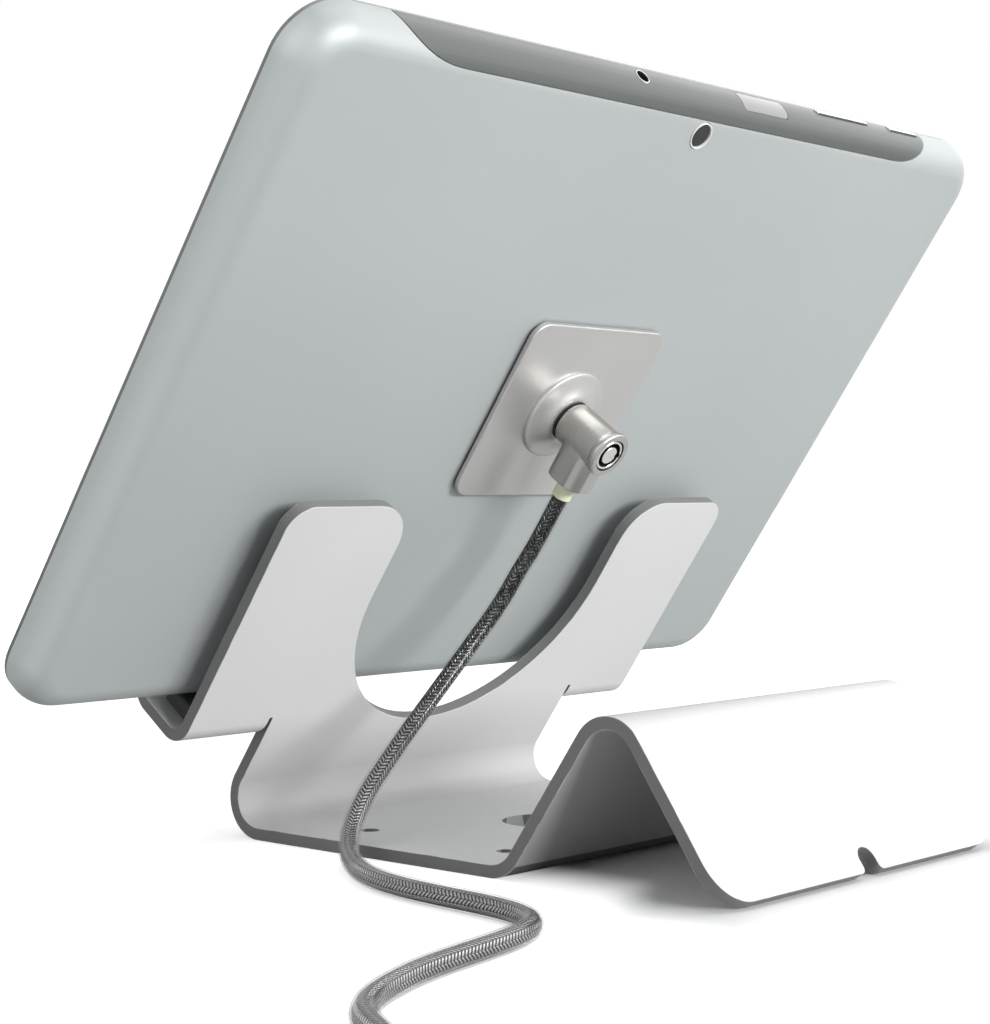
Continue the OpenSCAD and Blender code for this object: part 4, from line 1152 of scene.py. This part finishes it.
class KIOSK_OT_lock(bpy.types.Operator):
    """Cast lock head with its cable arm, and the key plug"""
    bl_idname = "kiosk.lock"
    bl_label = "Lock head"

    def execute(self, context):
        lock = context.scene.kiosk_lock
        nickel = finish("satin_nickel", lock.nickel, 0.24, metallic=1.0, grain=3000, depth=0.1, smudge=90,
                        spread=0.05, rubbed=1.2)
        head = self.head(lock)
        seat(paint(put(head, LOCK), nickel), "tablet", "lock", "lock_housing")
        plug = self.plug()
        polish, keyway_top, keyway_edge = 1.5, KEY_FACE - 0.1 * MM, PLUG_R - 0.2 * MM
        polished = finish("polished_plug", rgba(lock.nickel, polish)[:3], 0.16, metallic=1.0, grain=3500,
                          depth=0.06, smudge=150, rubbed=1.1)
        paint(plug, polished)
        # Painted shade: the keyway's polished walls are made black to stand for the shade deep in the slot.
        black = finish("keyway_black", (0.006, 0.006, 0.006), 0.6, grain=3000, depth=0.1)
        plug.data.materials.append(black)
        for face in plug.data.polygons:
            inside = face.center.xy.length < keyway_edge and face.center.z < keyway_top
            face.material_index = int(inside)
        seat(put(plug, LOCK), "key", "lock", "key_plug")
        return {"FINISHED"}

    def head(self, lock):
        """Barrel and arm melted into one casting, then bored."""
        foot = [(BARREL_R - 0.7 * MM, HEAD_BASE), (BARREL_R - 0.2 * MM, HEAD_BASE + 0.2 * MM),
                (BARREL_R, HEAD_BASE + 0.7 * MM)]
        collar = [(BARREL_R, HEAD_FACE - 1.9 * MM), (BARREL_R + 0.1 * MM, HEAD_FACE - 1.75 * MM),
                  (COLLAR_R - 0.02 * MM, HEAD_FACE - 1.45 * MM), (COLLAR_R, HEAD_FACE - 0.5 * MM),
                  (COLLAR_R - 0.2 * MM, HEAD_FACE - 0.12 * MM), (COLLAR_R - 0.5 * MM, HEAD_FACE)]
        barrel = lathe("lock_head", foot + collar, 96)
        arm = rounded_block("cable_arm", (-ARM_HALF_W, -ARM_REACH, ARM_AXIS - ARM_HALF_T),
                            (ARM_HALF_W, 0, ARM_AXIS + ARM_HALF_T), 1, ARM_CORNER, 10)
        combine(barrel, "UNION", arm)
        apply(barrel, "REMESH", mode="VOXEL", voxel_size=lock.cast_voxel, adaptivity=0.0)
        apply(barrel, "SMOOTH", factor=0.5, iterations=6)
        bore = lathe("plug_tool", [(PLUG_BORE, BORE_BASE), (PLUG_BORE, HEAD_FACE + 1.2 * MM)])
        arm_bore = lathe("arm_tool", [(ARM_BORE, 0), (ARM_BORE, ARM_BORE_DEEP + TOOL_PAST)], 48)
        combine(barrel, "DIFFERENCE", bore, put(arm_bore, in_arm(ARM_BORE_DEEP)))
        select_only(barrel)
        bpy.ops.object.shade_smooth_by_angle(angle=math.radians(40))
        return barrel

    def plug(self):
        """Key plug with its ring keyway and notch."""
        top, soft = KEY_FACE, 0.06 * MM
        outside = [(PLUG_R - 0.1 * MM, PLUG_BASE), (PLUG_R, PLUG_BASE + 0.1 * MM), (PLUG_R, top - 2 * soft),
                   (PLUG_R - 2 * soft, top)]
        keyway = [(KEYWAY_OUT + soft, top), (KEYWAY_OUT, top - soft), (KEYWAY_OUT, top - KEYWAY_DEEP),
                  (KEYWAY_IN, top - KEYWAY_DEEP), (KEYWAY_IN, top - soft), (KEYWAY_IN - soft, top)]
        plug = lathe("key_cylinder", outside + keyway + [(0.4 * MM, top)])
        notch_half, notch_deep, notch_ends = 0.5 * MM, 2 * MM, (2 * MM, 3.8 * MM)
        notch = block("notch_tool", (notch_ends[0], -notch_half, top - notch_deep),
                      (notch_ends[1], notch_half, top + TOOL_PAST))
        combine(plug, "DIFFERENCE", notch)
        smooth(plug)
        return plug


class KIOSK_OT_cable(bpy.types.Operator):
    """Jacketed braid from the lock to its coil, crimp and eye"""
    bl_idname = "kiosk.cable"
    bl_label = "Security cable"

    def execute(self, context):
        cable = context.scene.kiosk_cable
        jacket, braid = jacket_finish(cable), braid_finish(cable)
        path = lead_path() + coil_path()[1:]
        cord = paint(tube("cable_jacket", path, cable.jacket_d / 2), jacket)
        core = paint(tube("cable_core", path, cable.core_d / 2, 12), braid)
        for piece in (cord, core):
            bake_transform(piece)
        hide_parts("cable_lead", "cable_coil")
        loop = paint(tube("eye_jacket", eye_path(), cable.jacket_d / 2), jacket)
        seat(loop, "stand", "cable", "anchor_eye")
        loop_core = paint(tube("eye_core", eye_path(), cable.core_d / 2, 12), braid)
        seat(loop_core, "stand", "cable")
        pieces = [core, loop, loop_core, self.crimp(), self.tie()]
        path_length(path)
        self.sleeve(cable)
        return {"FINISHED"}

    def sleeve(self, cable):
        """Pale sleeve between the arm and the clear jacket."""
        radius, run = cable.jacket_d / 2, SLEEVE_IN + SLEEVE_OUT
        piece = lathe("pale_sleeve", [(radius - 0.1 * MM, 0.02 * MM), (radius, 0.12 * MM),
                                      (radius, run - 0.2 * MM), (radius - 0.2 * MM, run)], 48)
        smooth(piece)
        plastic = finish("sleeve_plastic", cable.sleeve, 0.25, grain=2500, depth=0.1, smudge=200, coat=0.6)
        paint(put(piece, LOCK @ in_arm(SLEEVE_IN)), plastic)
        seat(piece, "tablet", "sleeve", "cable_sleeve")

    def crimp(self):
        """Pressed double ferrule, oval, with two pressed bands."""
        pressed, end = 0.93, 0.9
        bands = [(0, end), (0.4, 1.0), (3.4, 1.0), (4.0, pressed), (5.6, pressed), (6.2, 1.0), (7.8, 1.0),
                 (8.4, pressed), (10.0, pressed), (10.6, 1.0), (13.6, 1.0), (14, end)]
        piece = lathe("pressed_crimp", [(CRIMP_Z * size, along * MM) for along, size in bands], 48)
        stretch = CRIMP_HALF_W / CRIMP_Z
        place = Matrix.Translation((TAIL_END.x + STRAND_GAP / 2, TAIL_END.y, CRIMP_Z))
        put(piece, place @ Matrix.Rotation(math.pi / 2, 4, "X") @ Matrix.Diagonal((stretch, 1, 1, 1)))
        smooth(piece, 50)
        paint(piece, finish("pressed_aluminium", (0.42, 0.42, 0.42), 0.38, metallic=1.0, grain=1800,
                            depth=0.25, smudge=150, spread=0.08))
        return seat(piece, "stand", "crimp", "eye_crimp")

    def tie(self):
        """Strap round one side of the coil."""
        low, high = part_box("coil_tie")
        piece = rounded_block("coil_strap", low, high, 0, STRAP_CORNER, 8)
        with editing(piece, "FACE"):
            choose(piece, "polygons", lambda face: abs(face.normal.x) > FACING)
            bpy.ops.mesh.delete(type="FACE")
        apply(piece, "SOLIDIFY", thickness=STRAP_T, offset=-1, use_even_offset=True)
        round_edges(piece, STRAP_EDGE, 2)
        smooth(piece)
        paint(piece, strap_finish())
        return seat(piece, "stand", "tie", "coil_tie")


# Places of the camera, the lamps and the floor's edge round the stand, in metres

CAMERA_AT = Vector((0.4103, 0.3327, 0.0878))
CAMERA_AIM = Vector((-0.7526, -0.6585, 0.0))
CAMERA_SHIFT = (-0.0256, -0.0276)
LAMP_AIM = Vector((0, 0, 0.07))
LAMPS = (("key", (-0.15, 1.45, 0.32), (1.1, 0.36)), ("side", (1.6, -0.1, 0.5), (1.3, 1.3)),
         ("top", (0.0, 0.25, 1.45), (1.0, 1.0)), ("far", (-1.2, 0.25, 1.0), (1.8, 1.1)))
FLOOR_SIZE = 12
STAND_HALF_W = 56 * MM
STAND_HALF_L = 78 * MM


class KIOSK_OT_stage(bpy.types.Operator):
    """Pale floor, soft light and the photograph's camera"""
    bl_idname = "kiosk.stage"
    bl_label = "Stage"

    def execute(self, context):
        stage = context.scene.kiosk_stage
        context.scene.view_settings.view_transform = "Standard"
        self.camera(context, stage)
        self.floor(stage)
        self.world(context, stage)
        for name, place, size in LAMPS:
            self.softbox(f"{name}_softbox", place, size, getattr(stage, f"{name}_power"))
        return {"FINISHED"}

    def camera(self, context, stage):
        """Camera of the photograph, shifted to its framing."""
        data = bpy.data.cameras.new("camera")
        data.lens = stage.lens
        data.shift_x, data.shift_y = CAMERA_SHIFT
        camera = bpy.data.objects.new("camera", data)
        context.scene.collection.objects.link(camera)
        camera.location = CAMERA_AT
        camera.rotation_euler = CAMERA_AIM.to_track_quat("-Z", "Y").to_euler()
        context.scene.camera = camera

    def floor(self, stage):
        """Wide pale floor that reads white to the camera and keeps the shadows."""
        bpy.ops.object.select_all(action="DESELECT")
        bpy.ops.mesh.primitive_plane_add(size=FLOOR_SIZE)
        floor = bpy.context.object
        floor.name = "floor"
        material = bpy.data.materials.new("pale_floor")
        material.use_nodes = True
        tree = material.node_tree
        tree.nodes.clear()
        out = tree.nodes.new("ShaderNodeOutputMaterial")
        diffuse = tree.nodes.new("ShaderNodeBsdfDiffuse")
        path = tree.nodes.new("ShaderNodeLightPath").outputs
        seen = math_node(tree, "MAXIMUM", path["Is Camera Ray"], path["Is Glossy Ray"])
        wire(tree, mix_colours(tree, seen, rgba([stage.bounce] * 3), rgba([stage.floor] * 3)),
             diffuse.inputs["Color"])
        lift = tree.nodes.new("ShaderNodeEmission")
        glow = math_node(tree, "MULTIPLY", self.lift_round_stand(tree), path["Is Camera Ray"])
        wire(tree, glow, lift.inputs["Strength"])
        both = tree.nodes.new("ShaderNodeAddShader")
        tree.links.new(diffuse.outputs[0], both.inputs[0])
        tree.links.new(lift.outputs[0], both.inputs[1])
        tree.links.new(both.outputs[0], out.inputs[0])
        paint(floor, material)

    def lift_round_stand(self, tree):
        """How much the floor is whitened for the camera, from none under the stand to full far from it."""
        fade, ridge_from, ridge_to = 25 * MM, 40 * MM, 65 * MM
        near_gain, far_gain, far_from, far_to = 0.6, 0.5, 0.1, 1.0
        place = object_place(tree)
        past_side = math_node(tree, "SUBTRACT", distance_along(tree, place, (1, 0, 0)), STAND_HALF_W)
        past_end = math_node(tree, "SUBTRACT", distance_along(tree, place, (0, 1, 0)), STAND_HALF_L)
        past = math_node(tree, "MAXIMUM", past_side, past_end)
        inward = remap(tree, split(tree, place)[1], fade, 0.0, ridge_from, ridge_to)
        near = remap(tree, math_node(tree, "ADD", past, inward), 0.0, near_gain, 0.0, fade)
        far = remap(tree, past, 0.0, far_gain, far_from, far_to)
        return math_node(tree, "ADD", near, far)

    def world(self, context, stage):
        """Soft all-round light with a white background."""
        world = bpy.data.worlds.new("studio")
        context.scene.world = world
        world.use_nodes = True
        tree = world.node_tree
        light = tree.nodes["Background"]
        path = tree.nodes.new("ShaderNodeLightPath").outputs
        seen = math_node(tree, "MAXIMUM", path["Is Camera Ray"], path["Is Glossy Ray"])
        seen = math_node(tree, "MAXIMUM", seen, path["Is Transmission Ray"])
        strength = math_node(tree, "MAXIMUM", seen, stage.world)
        wire(tree, strength, light.inputs["Strength"])
        light.inputs["Color"].default_value = (1, 1, 1, 1)

    def softbox(self, name, place, size, power):
        """An area lamp of some width and height, aimed at the object's middle."""
        data = bpy.data.lights.new(name, "AREA")
        data.shape = "RECTANGLE"
        data.size, data.size_y = size
        data.energy = power
        lamp = bpy.data.objects.new(name, data)
        bpy.context.scene.collection.objects.link(lamp)
        lamp.location = place
        aim = LAMP_AIM - Vector(place)
        lamp.rotation_euler = aim.to_track_quat("-Z", "Y").to_euler()


class KIOSK_PT_panel(bpy.types.Panel):
    """Lists the settings and the pieces"""
    bl_label = "Tablet kiosk stand"
    bl_idname = "KIOSK_PT_panel"
    bl_space_type = "VIEW_3D"
    bl_region_type = "UI"
    bl_category = "Kiosk"

    def draw(self, context):
        for operator in OPERATORS:
            self.layout.operator(operator.bl_idname)
        for name in SETTINGS:
            box = self.layout.box()
            group = getattr(context.scene, name)
            for key in group.__annotations__:
                box.prop(group, key)


SETTINGS = {"kiosk_stand": KioskStand, "kiosk_tablet": KioskTablet, "kiosk_lock": KioskLock,
            "kiosk_cable": KioskCable, "kiosk_stage": KioskStage}
OPERATORS = (KIOSK_OT_stage, KIOSK_OT_cable, KIOSK_OT_sheet, KIOSK_OT_pads, KIOSK_OT_shell, KIOSK_OT_front,
             KIOSK_OT_trim, KIOSK_OT_inside, KIOSK_OT_plate, KIOSK_OT_lock)
CLASSES = (*SETTINGS.values(), *OPERATORS, KIOSK_PT_panel)


def register():
    """Registers the classes and adds their settings to the scene."""
    for item in CLASSES:
        bpy.utils.register_class(item)
    for name, group in SETTINGS.items():
        setattr(bpy.types.Scene, name, PointerProperty(type=group))


def unregister():
    """Takes the settings and the classes away again."""
    for name in SETTINGS:
        delattr(bpy.types.Scene, name)
    for item in reversed(CLASSES):
        bpy.utils.unregister_class(item)


def main():
    """Makes every piece."""
    register()
    for operator in OPERATORS:
        group, name = operator.bl_idname.split(".")
        getattr(getattr(bpy.ops, group), name)()


if __name__ == "__main__":
    main()
